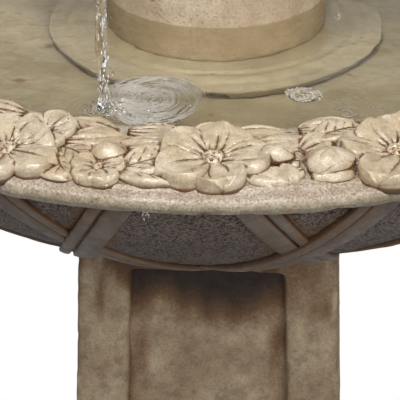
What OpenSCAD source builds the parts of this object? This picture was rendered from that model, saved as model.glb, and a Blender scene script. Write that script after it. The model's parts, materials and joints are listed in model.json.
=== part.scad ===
// Two-tier garden fountain: a square pedestal, a wide lower bowl with a flower garland and a woven ribbon
// lattice, a round column that hides the pump, a smaller upper bowl with spill notches, and a bud finial.
// Millimetres. +Z is up, the origin is on the ground below the middle, and the front faces -Y.

/* [Base and pedestal] */
// Side of the square base
base_w = 280; // [250:5:340]
// Height of the base above its pads
base_h = 60; // [56:1:90]
// Side of the pedestal where the bowl rests on it
pedestal_top_w = 172; // [166:1:180]
// Height of the pedestal
pedestal_h = 436; // [320:4:520]
// How far each side of the pedestal leans out, per unit of height
pedestal_lean = 0.0337; // [0.02:0.001:0.04]
// Depth of the four sunk panels
panel_depth = 10; // [5:1:12]
// Width of the frame round each panel
panel_frame = 35; // [28:1:40]

/* [Lower bowl] */
// Radius of the lower bowl's lip
lower_r = 305; // [295:1:320]
// Height of the lower bowl's underside, from its foot to its lip
lower_depth = 132; // [124:1:138]
// Depth of the water over the lower bowl's floor
lower_water = 78; // [74:1:80]

/* [Column] */
// Radius of the foot that the column stands on
foot_r = 112; // [104:1:114]
// Radius of the column at the water
drum_r = 73; // [70:1:80]
// Height of the column above its foot
column_h = 282; // [270:1:340]

/* [Upper bowl] */
// Radius of the upper bowl's lip
upper_r = 195; // [185:1:210]
// Height of the upper bowl's underside
upper_depth = 84; // [76:1:92]
// Number of spill notches in the upper rim
notches = 9; // [4:1:12]

/* [Ornament] */
// Ribbons of the lattice that lean each way
ribbons = 12; // [8:1:14]
// Angle that each ribbon leans from upright
ribbon_lean = 34.6; // [25:0.1:40]
// Thickness of the flower garland on the rims
garland_t = 10; // [6:1:14]

/* [Hidden] */
$fn = 96;

// Heights above the ground, from the pads up
pad_t = 4;
base_z = pad_t;
pedestal_z = base_z + base_h;
seat_z = pedestal_z + pedestal_h;
gasket_t = 3;
lower_z = seat_z + gasket_t;
lower_lip_z = lower_z + lower_depth;
lower_water_z = lower_lip_z + 10;
floor_z = lower_water_z - lower_water;
foot_z = floor_z + gasket_t;
foot_t = 18;
drum_z = foot_z + foot_t;
column_top = drum_z + column_h;
upper_z = column_top + gasket_t;
upper_lip_z = upper_z + upper_depth;
upper_water_z = upper_lip_z + 7;
upper_floor_z = upper_water_z - 54;

// Sizes that neighbours share
base_wall = 28;
ledge_t = 26; // the base's top, which carries the pedestal
pedestal_wall = 22;
lower_spigot = [57, 15]; // radius and height of the boss under the lower bowl
cord_hole_r = 12;
cord_hole_x = 38; // beside the pump
grommet_z = base_z + 15;
grommet_r = [5, 9, 12]; // bore, body and flange
pump_room_r = 55;
column_bore_r = 18;
socket = [30, 22]; // radius and depth of the recess in the top of the column
upper_spigot = [29.5, 10];
hose_r = 8;
hose_wall = 3;
slip = 0.05; // clearance between parts that turn or slide on each other
gap = 0.3; // clearance between parts that only stand near each other
shank_r = 10.5;
pipe_r = 8;
pipe_bore_r = 5;

// The pump, whose outlet is on the fountain's axis and whose shaft lies along Y
pump_z = floor_z + 10;
pump_h = 50;
pump_w = 44;
shaft_z = pump_z + pump_h / 2;
cover_y = [-27, -11];
chamber_y = [-11, 11];
motor_y = [11, 48];
impeller_room_r = 18;
rotor_room_r = 12;
shaft_r = 1.5;
bush_r = 4;
front_bush_y = [-7, -1];
back_bush_y = [38.5, 42];
gland_z = pump_z + 36;
dial_spindle_r = 3;
outlet_h = 24;
hose_z = pump_z + pump_h + 2;
hose_top = column_top - 21;

// The two bowls as [lip radius, foot radius, foot z, lip z, water z, floor z, rim width]
LOWER = [lower_r, 90, lower_z, lower_lip_z, lower_water_z, floor_z, 73];
UPPER = [upper_r, 62, upper_z, upper_lip_z, upper_water_z, upper_floor_z, 50];
under_n = 1.45; // squareness of the underside's curve, where 2 is an ellipse
inner_n = 2.4; // squareness of the curve inside
lip_in = 18; // how far the underside starts inside the lip
lip_t = 7;

stone = "burlywood";
stone_dark = "tan";
rubber = "dimgray";
plastic = "darkslategray";
steel = "silver";
brass = "goldenrod";

// ---- shapes that several parts use ----

// Four-sided body with mitred corners, from its right-hand outline of [half width, z] points
module mitred(outline) {
  span = 2 * max([for (p = outline) p[0]]) + 2;
  mirrored = [for (i = [len(outline) - 1:-1:0]) [-outline[i][0], outline[i][1]]];
  intersection_for(turn = [0, 90])
    rotate([90, 0, turn]) linear_extrude(span, center = true) polygon(concat(outline, mirrored));
}

module turned(outline) { rotate_extrude() polygon(outline); }

module post(r, z0, z1) { translate([0, 0, z0]) cylinder(r = r, h = z1 - z0); }

module tube(r_in, r_out, z0, z1) {
  difference() {
    post(r_out, z0, z1);
    post(r_in, z0 - 1, z1 + 1);
  }
}

// Cylinder along Y
module rod_y(r, y0, y1, x = 0, z = shaft_z) {
  translate([x, y0, z]) rotate([-90, 0, 0]) cylinder(r = r, h = y1 - y0);
}

module box_between(low, high) { translate(low) cube(high - low); }

module around(count, first = 0) {
  for (i = [0:count - 1]) rotate([0, 0, first + i * 360 / count]) children();
}

// ---- bowls ----

// Point on a bowl's underside, from the lip at a = 0 to the foot at a = 90, stood off by proud
function under(b, a, proud = 0) = [
  b[1] + (b[0] - lip_in - b[1]) * pow(cos(a), 2 / under_n) + proud * cos(a),
  b[3] - (b[3] - b[2]) * pow(sin(a), 2 / under_n) - proud * sin(a)
];

// Point inside the bowl, from the rim's inner edge at a = 0 to the floor at a = 90
function inner(b, a) =
  let (r_edge = b[0] - b[6] - 2, r_floor = r_edge * 0.48, top = b[4] + 2)
  [r_floor + (r_edge - r_floor) * pow(cos(a), 2 / inner_n), top - (top - b[5]) * pow(sin(a), 2 / inner_n)];

// Height of the sloping rim at radius r
function rim_z(b, r) =
  let (low = [b[0], b[3] + lip_t], high = [b[0] - b[6], b[4] + 5])
  low[1] + (high[1] - low[1]) * (low[0] - r) / (low[0] - high[0]);

// The garland's room as a domed band on the rim, from its outer edge to its inner edge
function garland(b) =
  let (edge = b[0] - 9, back = b[0] - b[6] + 2, middle = (edge + back) / 2)
  [for (p = [[edge, 0], [edge - 2, 0.5], [middle + 12, 0.9], [middle - 8, 1], [back + 1, 0.7], [back, 0]])
    [p[0], rim_z(b, p[0]) + garland_t * p[1]]];

// Woven ribbons on the underside: each one is a leaning slab that cuts a skin over the underside
module lattice(b, width, proud, crossing_z) {
  slab = [b[0] * 1.1, width, (b[3] - b[2]) * 2.6];
  intersection() {
    turned(concat(
      [for (a = [4:8:76]) under(b, a, proud)],
      [for (a = [76:-8:4]) under(b, a, -2)]
    ));
    for (lean = [-1, 1])
      around(ribbons, -90 + 180 / ribbons)
        translate([0, 0, crossing_z]) rotate([lean * ribbon_lean, 0, 0])
          translate([1, -slab[1] / 2, -slab[2] / 2]) cube(slab);
  }
}

module bowl_body(b, spigot, hole_r, hole_x = 0) {
  difference() {
    union() {
      turned(concat(
        [[0, b[5]]],
        [for (a = [90:-6:0]) inner(b, a)],
        [[b[0] - b[6], rim_z(b, b[0] - b[6])]],
        [for (i = [5:-1:0]) garland(b)[i]],
        [[b[0] - 2, b[3] + lip_t], [b[0], b[3] + lip_t - 2], [b[0], b[3] + 2], [b[0] - 2, b[3]]],
        [for (a = [0:5:90]) under(b, a)],
        [[0, b[2]]]
      ));
      post(spigot[0], b[2] - spigot[1], b[2] + 1);
    }
    translate([hole_x, 0, 0]) post(hole_r, b[2] - spigot[1] - 1, b[5] + 1);
  }
}

// ---- base and pedestal ----

module ground_pads() {
  reach = base_w / 2 - 15;
  color(rubber) for (x = [-reach, reach]) for (y = [-reach, reach]) translate([x, y, 0]) post(13, 0, pad_t);
}

module base_plinth() {
  half = base_w / 2;
  top_half = pedestal_half(pedestal_z) + 17;
  step = [half - 8, base_z + 30];
  cove = [step[0] - top_half, 18];
  room = half - base_wall;
  opening = pedestal_half(pedestal_z) - pedestal_wall;
  color(stone) difference() {
    mitred(concat(
      [[half - 3, base_z], [half, base_z + 3], [half, step[1] - 3], [half - 3, step[1]], step],
      [for (a = [0:15:90]) step + [-cove[0] * sin(a), cove[1] * (1 - cos(a))]],
      [[top_half, pedestal_z - 3], [top_half - 3, pedestal_z]]
    ));
    box_between([-room, -room, base_z - 1], [room, room, pedestal_z - ledge_t]);
    box_between([-opening, -opening, base_z - 1], [opening, opening, pedestal_z + 1]);
    rod_y(grommet_r[1], room - 1, half + 1, 0, grommet_z);
  }
}

module cord_grommet() {
  half = base_w / 2;
  color(rubber) difference() {
    union() {
      rod_y(grommet_r[1], half - base_wall, half, 0, grommet_z);
      rod_y(grommet_r[2], half, half + 3, 0, grommet_z);
    }
    rod_y(grommet_r[0], half - base_wall - 1, half + 4, 0, grommet_z);
  }
}

function pedestal_half(z) = pedestal_top_w / 2 + pedestal_lean * (seat_z - z);

// Square shaft of the pedestal, drawn in by t and run past each end
module pedestal_shaft(t, past = 0) {
  mitred([
    [pedestal_half(pedestal_z - past) - t, pedestal_z - past],
    [pedestal_half(seat_z + past) - t, seat_z + past]
  ]);
}

module pedestal() {
  low = pedestal_z + 42;
  high = seat_z - 24;
  low_half = pedestal_half(low) - panel_frame;
  high_half = pedestal_half(high) - panel_frame;
  color(stone) difference() {
    union() {
      difference() {
        pedestal_shaft(0);
        around(4)
          translate([0, -pedestal_half(pedestal_z) - 1, 0]) rotate([90, 0, 180])
            linear_extrude(30) polygon([[-low_half, low], [low_half, low], [high_half, high], [-high_half, high]]);
      }
      pedestal_shaft(panel_depth);
    }
    pedestal_shaft(pedestal_wall, 1);
  }
}

module pedestal_gasket() { color(rubber) tube(lower_spigot[0] + 4, 78, seat_z, lower_z); }

// ---- lower bowl ----

module lower_bowl() {
  color(stone) {
    bowl_body(LOWER, lower_spigot, cord_hole_r, cord_hole_x);
    lattice(LOWER, 22, 5, lower_water_z - 68);
  }
}

// Rubber plug round the pump's lead, with a slit that lets it be fitted over the lead
module cord_stopper() {
  color(rubber) translate([cord_hole_x, 0, 0]) difference() {
    union() {
      post(cord_hole_r, floor_z - 24, floor_z);
      post(cord_hole_r + 3, floor_z, floor_z + 3);
    }
    post(3.5, floor_z - 25, floor_z + 4);
    box_between([0, -0.4, floor_z - 25], [cord_hole_r + 4, 0.4, floor_z + 4]);
  }
}

// ---- column ----

module foot_pads() {
  color(rubber) around(3, 30) translate([94, 0, 0]) post(8, floor_z, foot_z);
}

module column_foot() {
  bead = 6;
  color(stone) difference() {
    turned(concat(
      [[pump_room_r, foot_z], [foot_r - 3, foot_z]],
      [for (a = [-60:20:80]) [foot_r - bead + bead * cos(a), drum_z - 7 + 7 * sin(a)]],
      [[foot_r - bead - 2, drum_z], [pump_room_r, drum_z]]
    ));
    // Arches at the back and the sides let the water through to the pump
    for (turn = [0, 90, 180]) rotate([0, 0, turn]) box_between([-13, 0, foot_z - 1], [13, foot_r + 2, foot_z + 8]);
  }
}

module column() {
  shoulder = drum_z + 88;
  waist = shoulder + 26;
  neck = column_top - 40;
  dome_z = shoulder - 24;
  color(stone) difference() {
    turned(concat(
      [[0, drum_z], [drum_r, drum_z], [drum_r, shoulder - 4]],
      [for (a = [-60:30:90]) [drum_r - 3 + 5 * cos(a), shoulder + 2 + 5 * sin(a)]],
      [for (a = [0:15:90]) [drum_r - 6 - 18 * sin(a), waist - 17 * cos(a)]],
      [for (k = [1:9]) [49 + 9 * sin(k * 22) - 5 * k / 9, waist + (neck - waist) * k / 9]],
      [for (a = [90:-15:0]) [68 - 24 * sin(a), column_top - 8 - 22 * sin(a)]],
      [[70, column_top - 6], [70, column_top], [0, column_top]]
    ));
    turned(concat(
      [[0, drum_z - 1], [pump_room_r, drum_z - 1]],
      [for (a = [0:15:75]) [column_bore_r + (pump_room_r - column_bore_r) * cos(a), dome_z + 34 * sin(a)]],
      [[column_bore_r, shoulder + 14], [column_bore_r, column_top + 1], [0, column_top + 1]]
    ));
    post(socket[0], column_top - socket[1], column_top + 1);
  }
}

module column_gasket() { color(rubber) tube(socket[0] + 2, 58, column_top, upper_z); }

// ---- pump ----

module pump_housing() {
  top = pump_z + pump_h;
  shell_y = motor_y[1] - 6;
  color(plastic) difference() {
    union() {
      box_between([-pump_w / 2, motor_y[0], pump_z], [pump_w / 2, shell_y, top]);
      box_between([-14, shell_y, pump_z + 8], [14, motor_y[1], top - 8]);
      for (x = [-14:7:14]) box_between([x - 1.2, 16, top], [x + 1.2, 38, top + 2]);
    }
    rod_y(rotor_room_r, motor_y[0] - 1, back_bush_y[0]);
    rod_y(bush_r, back_bush_y[0] - 1, back_bush_y[1]);
    rod_y(4, motor_y[1] - 5, motor_y[1] + 1, 0, gland_z);
  }
}

module pump_chamber() {
  top = pump_z + pump_h;
  color(plastic) difference() {
    union() {
      box_between([-pump_w / 2, chamber_y[0], pump_z], [pump_w / 2, chamber_y[1], top]);
      post(hose_r, top - 1, top + outlet_h);
    }
    rod_y(impeller_room_r, 0, chamber_y[1] + 1);
    rod_y(bush_r, front_bush_y[0], 1);
    // Intake holes round the bush, and the way out to the hose
    for (a = [30:60:330]) rod_y(2.4, chamber_y[0] - 1, 1, 9 * cos(a), shaft_z + 9 * sin(a));
    post(5, shaft_z + 12, top + outlet_h + 1);
  }
}

module pump_intake_cover() {
  wall = 2.5;
  half = pump_w / 2;
  color(plastic) difference() {
    box_between([-half, cover_y[0], pump_z], [half, cover_y[1], pump_z + pump_h]);
    box_between([-half, cover_y[0], pump_z] + [wall, wall, wall], [half - wall, cover_y[1] + 1, pump_z + pump_h - wall]);
    for (x = [-16:4:16]) for (z = [pump_z + 5, pump_z + 36])
      box_between([x - 1, cover_y[0] - 1, z], [x + 1, cover_y[0] + wall + 1, z + 9]);
    rod_y(dial_spindle_r, cover_y[0] - 1, cover_y[0] + wall + 1);
  }
}

module pump_cord_gland() {
  color(rubber) difference() {
    union() {
      rod_y(4, motor_y[1] - 5, motor_y[1], 0, gland_z);
      rod_y(5.5, motor_y[1], motor_y[1] + 3, 0, gland_z);
    }
    rod_y(2.6, motor_y[1] - 2, motor_y[1] + 4, 0, gland_z);
  }
}

module pump_suction_cups() {
  color(rubber) for (x = [-15, 15]) for (y = [-4, 32]) translate([x, y, 0]) {
    translate([0, 0, floor_z]) cylinder(r1 = 6.5, r2 = 3, h = 5);
    post(3, floor_z + 5, pump_z);
  }
}

module pump_shaft() { color(steel) rod_y(shaft_r, front_bush_y[0] + 1, back_bush_y[1] - 1); }

module shaft_bushes() {
  color(rubber) for (y = [front_bush_y, back_bush_y]) difference() {
    rod_y(bush_r, y[0], y[1]);
    rod_y(shaft_r, y[0] - 1, y[1] + 1);
  }
}

module rotor_magnet() {
  color("dimgray") difference() {
    rod_y(10.5, 13, 36);
    rod_y(shaft_r + slip, 12, 37);
  }
}

module impeller() {
  color("white") difference() {
    union() {
      rod_y(15, 8, 10);
      rod_y(4, 2, 13);
      translate([0, 0, shaft_z]) for (a = [0:60:300]) rotate([0, a, 0]) box_between([3, 2, -0.8], [14.5, 8.5, 0.8]);
    }
    rod_y(shaft_r + slip, 1, 14);
  }
}

module flow_dial() {
  face = cover_y[0] - gap;
  color("black") difference() {
    union() {
      rod_y(11, face - 4, face);
      rod_y(dial_spindle_r - slip, face - 1, cover_y[0] + 4);
      box_between([-9, face - 8, shaft_z - 1.5], [9, face - 3, shaft_z + 1.5]);
    }
    for (a = [0:30:330]) rod_y(1, face - 5, face + 1, 11.3 * cos(a), shaft_z + 11.3 * sin(a));
  }
}

module riser_hose() { color("lightblue") tube(hose_r, hose_r + hose_wall, hose_z, hose_top); }

module hose_clamp() {
  r = hose_r + hose_wall;
  z = hose_z + 6;
  band = 8;
  color(steel) difference() {
    union() {
      post(r + 1.2, z, z + band);
      box_between([r, -4, z], [r + 9, 4, z + band]);
    }
    post(r, z - 1, z + band + 1);
    box_between([r - 1, -1.2, z - 1], [r + 10, 1.2, z + band + 1]);
  }
}

// ---- upper bowl ----

module upper_bowl() {
  notch_r = 8;
  color(stone) difference() {
    union() {
      bowl_body(UPPER, upper_spigot, shank_r);
      lattice(UPPER, 14, 3.5, upper_water_z - 44);
    }
    // Round-bottomed notches through the rim, 4 mm below the water; one of them is 16 degrees left of the front
    around(notches, -106) translate([upper_r - 62, 0, upper_water_z - 4 + notch_r]) {
      rotate([0, 90, 0]) cylinder(r = notch_r, h = 70);
      translate([0, -notch_r, 0]) cube([70, 2 * notch_r, 20]);
    }
  }
}

flange_z = upper_floor_z + 1.5;
boss_z = upper_z - upper_spigot[1];
shank_z = boss_z - 11;
tail_z = shank_z - 24;
module nozzle_body() {
  color(brass) difference() {
    union() {
      post(17, flange_z, flange_z + 3);
      post(shank_r, shank_z, flange_z + 1);
      post(hose_r - slip, tail_z, shank_z + 1);
    }
    post(pipe_bore_r, tail_z - 1, flange_z + 4);
  }
}

module nozzle_washers() {
  color(rubber) {
    tube(shank_r, 16, upper_floor_z, flange_z);
    tube(shank_r, 15, boss_z - 1.5, boss_z);
  }
}

module nozzle_nut() {
  color(brass) difference() {
    translate([0, 0, boss_z - 9.5]) cylinder(r = 16, h = 8, $fn = 6);
    post(shank_r, boss_z - 10, boss_z);
  }
}

module nozzle_pipe() { color(brass) tube(pipe_bore_r, pipe_r, flange_z + 3, upper_floor_z + 196); }

// ---- finial ----

sepals_z = upper_floor_z + 92;
bud_z = sepals_z + 8;
bud_h = 100;

module finial_stem() {
  z = upper_floor_z;
  color(stone) difference() {
    turned(concat(
      [[0, z], [46, z], [46, z + 10]],
      [for (a = [0:15:90]) [42 - 22 * sin(a), z + 32 - 20 * cos(a)]],
      [for (a = [-90:30:90]) [20 + 6 * cos(a), z + 42 + 6 * sin(a)]],
      [for (a = [0:15:90]) [18 + 12 * (1 - cos(a)), z + 54 + 30 * sin(a)]],
      [[32, sepals_z], [0, sepals_z]]
    ));
    post(pipe_r + gap, z - 1, sepals_z + 1);
    post(19, z - 1, z + 6);
  }
}

module finial_sepals() {
  color(stone_dark) difference() {
    union() {
      post(33, sepals_z, bud_z);
      around(8, 22.5) translate([30, 0, sepals_z + 4]) sphere(r = 8.5);
    }
    post(60, bud_z, bud_z + 20);
    post(60, sepals_z - 20, sepals_z);
    post(pipe_r + gap, sepals_z - 1, bud_z + 1);
  }
}

module finial_bud() {
  color(stone) difference() {
    turned(concat(
      [[0, bud_z], [28, bud_z]],
      [for (a = [-48:12:60]) [42 * cos(a), bud_z + 34 + 45 * sin(a)]],
      [for (a = [0:15:75]) [12 + 9 * (1 - sin(a)), bud_z + 73 + (bud_h - 78) * sin(a)]],
      [[11, bud_z + bud_h], [0, bud_z + bud_h]]
    ));
    post(pipe_r + gap, bud_z - 1, bud_z + bud_h + 1);
  }
}

ground_pads();
base_plinth();
cord_grommet();
pedestal();
pedestal_gasket();
lower_bowl();
cord_stopper();
foot_pads();
column_foot();
column();
column_gasket();
pump_housing();
pump_chamber();
pump_intake_cover();
pump_cord_gland();
pump_suction_cups();
pump_shaft();
shaft_bushes();
rotor_magnet();
impeller();
flow_dial();
riser_hose();
hose_clamp();
upper_bowl();
nozzle_body();
nozzle_washers();
nozzle_nut();
nozzle_pipe();
finial_stem();
finial_sepals();
finial_bud();
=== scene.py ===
"""Looks of the tiered water fountain: cast stone, a sculpted garland, a woven lattice, water and lights."""
import json
import math
import random

import bpy
import numpy as np
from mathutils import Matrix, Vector
from mathutils.bvhtree import BVHTree


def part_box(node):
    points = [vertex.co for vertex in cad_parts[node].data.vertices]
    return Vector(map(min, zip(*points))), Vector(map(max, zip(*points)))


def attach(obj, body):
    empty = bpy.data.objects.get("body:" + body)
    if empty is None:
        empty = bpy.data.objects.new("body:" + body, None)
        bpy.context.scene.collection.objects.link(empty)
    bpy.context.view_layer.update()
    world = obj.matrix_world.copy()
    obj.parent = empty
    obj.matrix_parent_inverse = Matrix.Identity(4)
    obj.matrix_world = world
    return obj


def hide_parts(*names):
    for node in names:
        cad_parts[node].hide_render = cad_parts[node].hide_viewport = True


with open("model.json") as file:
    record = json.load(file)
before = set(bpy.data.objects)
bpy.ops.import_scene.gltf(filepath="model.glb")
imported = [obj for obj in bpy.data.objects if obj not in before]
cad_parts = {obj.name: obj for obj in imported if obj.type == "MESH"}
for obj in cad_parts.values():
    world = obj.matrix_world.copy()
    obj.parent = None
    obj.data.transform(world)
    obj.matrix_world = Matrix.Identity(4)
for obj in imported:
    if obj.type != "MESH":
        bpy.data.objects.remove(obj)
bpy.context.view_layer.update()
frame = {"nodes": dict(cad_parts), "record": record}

MM = 0.001  # shapes are worked out in millimetres, and meshes are made in metres
TAU = 2 * math.pi


# ---- places, read from the frame ----

def span(node):
    """Lowest and highest corner of a CAD node in millimetres."""
    lo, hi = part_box(node)
    return np.array(lo) / MM, np.array(hi) / MM


def superellipse(a, power):
    """Cosine and sine of a, bent to a superellipse of this power."""
    return np.cos(a).clip(0, 1) ** (2 / power), np.sin(a).clip(0, 1) ** (2 / power)


UNDER_POWER = 1.45  # how full the underside's curve is
INSIDE_POWER = 2.4  # how full the inside's curve is
LIP_W = 18  # how far the lip stands out past the underside
LOWER_LIP_R = 305  # the size that carving and grooves are drawn at; the upper bowl's are smaller in step


class Bowl:
    """Profile of one bowl, as the CAD part builds it, and the sizes of what is carved on it.

    Lengths are in millimetres. depth is the water's, above how far the water stands over the lip's underside,
    and cross_below how far under the water the middle crossings of the ribbons are. The garland is carved at
    `carved` times the size it is drawn at, round the radius garland_r, in sectors that start at azimuth first."""

    def __init__(self, name, body, lip_r, foot_r, foot_z, floor_z, depth, above, rim_w, boss, sectors, first,
                 garland_r, carved, cross_below, ribbon_w, proud, notch_r=0):
        self.name, self.body = name, body
        self.lip_r, self.foot_r, self.foot_z = lip_r, foot_r, foot_z
        self.floor_z, self.water_z = floor_z, floor_z + depth
        self.lip_z = self.water_z - above  # underside of the lip
        self.rim_w, self.boss = rim_w, boss
        self.edge_r = lip_r - rim_w
        self.scale = lip_r / LOWER_LIP_R
        self.sectors, self.first, self.garland_r, self.carved = sectors, first, garland_r, carved
        self.cross_z, self.ribbon_w, self.proud = self.water_z - cross_below, ribbon_w, proud
        self.notch_r = notch_r

    def under(self, a):
        """Underside, from the lip at a = 0 to the foot at a = pi / 2."""
        across, down = superellipse(a, UNDER_POWER)
        r = self.foot_r + (self.lip_r - LIP_W - self.foot_r) * across
        z = self.lip_z - (self.lip_z - self.foot_z) * down
        return np.stack([r, z], -1)

    def inner(self, a, into_stone=0.0):
        """Inside, from the rim's edge at a = 0 to the floor at a = pi / 2."""
        edge, top = self.edge_r - 2, self.water_z + 2
        floor_r = edge * 0.48
        across, down = superellipse(a, INSIDE_POWER)
        r = floor_r + (edge - floor_r) * across + into_stone * np.cos(a)
        z = top - (top - self.floor_z) * down - into_stone * np.sin(a)
        return np.stack([r, z], -1)

    def rim_z(self, r):
        low, high = self.lip_z + 7, self.water_z + 5
        return low + (high - low) * (self.lip_r - r) / self.rim_w


NOTCHES = 9
FIRST_NOTCH = math.radians(-16)  # azimuths run from the front, -Y, towards +X
lower = Bowl("lower", "base_unit", lip_r=span("lower_bowl")[1][0], foot_r=90, foot_z=span("pedestal_gasket")[1][2],
             floor_z=span("foot_pads")[0][2], depth=78, above=10, rim_w=73, boss=(57, 15), sectors=4, first=0.0,
             garland_r=268, carved=1.0, cross_below=68, ribbon_w=22, proud=5)
upper = Bowl("upper", "upper_tier", lip_r=span("upper_bowl")[1][0], foot_r=62, foot_z=span("column_gasket")[1][2],
             floor_z=span("finial_stem")[0][2], depth=54, above=7, rim_w=50, boss=(29.5, 10), sectors=NOTCHES,
             first=FIRST_NOTCH + math.pi / NOTCHES, garland_r=171, carved=0.62, cross_below=44, ribbon_w=14,
             proud=3.5, notch_r=8)


# ---- camera, lights and world ----

def aim(obj, location, target):
    obj.location = location
    obj.rotation_mode = "QUATERNION"
    obj.rotation_quaternion = (Vector(target) - Vector(location)).to_track_quat("-Z", "Y")


def add_camera():
    """Long lens that looks down over the lower bowl's front rim, a little from the left."""
    away, height, pitch, side = 1.250, 0.4954, math.radians(27.71), -0.0107
    turn = math.radians(3.9)
    forward = Vector((-math.sin(turn), math.cos(turn), 0))
    right = Vector((math.cos(turn), math.sin(turn), 0))
    data = bpy.data.cameras.new("camera")
    data.lens, data.sensor_width = 180.7, 36
    cam = bpy.data.objects.new("camera", data)
    bpy.context.scene.collection.objects.link(cam)
    place = right * side - forward * away + Vector((0, 0, lower.water_z * MM + height))
    view = forward * math.cos(pitch) - Vector((0, 0, math.sin(pitch)))
    aim(cam, place, place + view)
    bpy.context.scene.camera = cam


def add_area(name, place, target, size, power, colour):
    data = bpy.data.lights.new(name, "AREA")
    data.shape, data.size, data.energy, data.color = "DISK", size, power, colour
    light = bpy.data.objects.new(name, data)
    bpy.context.scene.collection.objects.link(light)
    aim(light, place, target)
    light.visible_camera = False


# Elevation from 0 straight down to 1 straight up, and how bright the room is there: dim walls, with a lit
# band that the water's far side reflects, and a soft ceiling
ROOM = [(0.0, 0.42), (0.46, 0.30), (0.52, 0.24), (0.66, 0.42), (0.695, 0.62), (0.71, 0.20), (1.0, 0.35)]


def add_studio():
    """White to the camera, a dim room to everything else, and three lamps."""
    scene = bpy.context.scene
    scene.view_settings.view_transform = "Standard"
    scene.world = bpy.data.worlds.new("studio")
    scene.world.use_nodes = True
    n = Nodes(scene.world.node_tree)
    seen, glow = n.tree.nodes["Background"], n.add("ShaderNodeBackground")
    seen.inputs["Color"].default_value = (1, 1, 1, 1)
    split, half = n.add("ShaderNodeSeparateXYZ"), n.add("ShaderNodeMapRange")
    ramp = n.add("ShaderNodeValToRGB")
    half.inputs["From Min"].default_value = -1
    for i, (place, level) in enumerate(ROOM):
        stop = ramp.color_ramp.elements[i] if i < 2 else ramp.color_ramp.elements.new(place)
        stop.position, stop.color = place, (level, level, level * 1.02, 1)
    n.feed(n.add("ShaderNodeTexCoord").outputs["Generated"], split.inputs[0])
    n.feed(split.outputs["Z"], half.inputs["Value"])
    n.feed(half.outputs[0], ramp.inputs[0])
    n.feed(ramp.outputs[0], glow.inputs["Color"])
    shown = n.either("Is Camera Ray", glow.outputs[0], seen.outputs[0])
    n.feed(shown, n.tree.nodes["World Output"].inputs["Surface"])
    add_area("front", (0.7, -1.9, 1.7), (0, 0, 0.5), 1.0, 27, (1.0, 0.975, 0.94))
    add_area("above", (-0.06, -0.83, 2.25), (0, 0, 0.65), 0.4, 25, (1.0, 0.985, 0.96))
    add_area("behind", (-0.55, 1.7, 1.75), (0, 0, 0.65), 0.7, 3.5, (0.97, 0.98, 1.0))
    bpy.data.objects["behind"].visible_glossy = False


# ---- numbers ----

# Large odd multipliers that scatter the bits of a place's three whole numbers and of the seed
SCATTER = (374761393, 668265263, 1440662683, 1274126177)
REMIX = 1103515245
WORD = 0xFFFFFFFF


def hash01(ix, iy, iz, seed):
    """Repeatable noise value from 0 to 1 at each whole-number place."""
    h = sum(number * many for number, many in zip((ix, iy, iz, seed), SCATTER)) & WORD
    h = ((h ^ (h >> 13)) * REMIX) & WORD
    return ((h ^ (h >> 16)) & 0xFFFFFF) / 0xFFFFFF


def smooth_noise(points, size, seed=0):
    """Noise from -1 to 1 whose lumps are about size across."""
    p = points / size
    cell = np.floor(p).astype(np.int64)
    f = p - cell
    f = f * f * (3 - 2 * f)
    total = np.zeros(len(p))
    for corner in range(8):
        o = [(corner >> k) & 1 for k in range(3)]
        weight = np.ones(len(p))
        for k in range(3):
            weight *= f[:, k] if o[k] else 1 - f[:, k]
        total += weight * hash01(cell[:, 0] + o[0], cell[:, 1] + o[1], cell[:, 2] + o[2], seed)
    return total * 2 - 1


def layered_noise(points, size, seed=0, layers=3):
    total = sum(smooth_noise(points, size / 2 ** k, seed + k) / 2 ** k for k in range(layers))
    return total / sum(1 / 2 ** k for k in range(layers))


def pits(points, size, chance, seed=0):
    """0 on plain surface and 1 in the middle of scattered round pits."""
    cell = np.floor(points / size).astype(np.int64)
    deep = np.zeros(len(points))
    for corner in range(27):
        o = np.array([corner % 3 - 1, corner // 3 % 3 - 1, corner // 9 - 1])
        c = cell + o
        x, y, z, here, wide = [hash01(*c.T, seed + k) for k in range(5)]
        gap = np.linalg.norm(points / size - (c + np.stack([x, y, z], -1)), axis=1)
        radius = 0.18 + 0.3 * wide
        deep = np.maximum(deep, np.where(here < chance, (1 - gap / radius).clip(0, 1), 0))
    return deep ** 0.7


def step(low, high, x):
    t = ((x - low) / (high - low)).clip(0, 1)
    return t * t * (3 - 2 * t)


# ---- meshes ----

def grid_quads(rows, cols, wrap=False):
    i, j = np.meshgrid(np.arange(rows - 1), np.arange(cols if wrap else cols - 1), indexing="ij")
    k = (j + 1) % cols
    return np.stack([i * cols + j, i * cols + k, (i + 1) * cols + k, (i + 1) * cols + j], -1).reshape(-1, 4)


def end_caps(count, around):
    """Flat faces over the first and last ring of a tube of count vertices."""
    return [list(range(around))[::-1], list(range(count - around, count))]


def revolve(profile, around):
    """Closed turned solid from [r, z] points: rows run along the profile, and its two ends get flat caps."""
    t = np.arange(around) * TAU / around
    r, z = profile[:, 0][:, None], profile[:, 1][:, None]
    verts = np.stack([r * np.sin(t), -r * np.cos(t), z + 0 * t], -1).reshape(-1, 3)
    faces = grid_quads(len(profile), around, True).tolist() + end_caps(len(verts), around)
    disc = profile[1:, 0] ** 2 + profile[1:, 0] * profile[:-1, 0] + profile[:-1, 0] ** 2
    falling = (np.diff(profile[:, 1]) * disc).sum() < 0
    return verts, [face[::-1] for face in faces] if falling else faces


def normals_of(verts, faces):
    """Unit vertex normals, from the faces' first three corners."""
    tri = np.array([f[:3] for f in faces])
    n = np.cross(verts[tri[:, 1]] - verts[tri[:, 0]], verts[tri[:, 2]] - verts[tri[:, 0]])
    out = np.zeros_like(verts)
    for k in range(3):
        np.add.at(out, tri[:, k], n)
    return out / np.maximum(np.linalg.norm(out, axis=1, keepdims=True), 1e-9)


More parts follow.
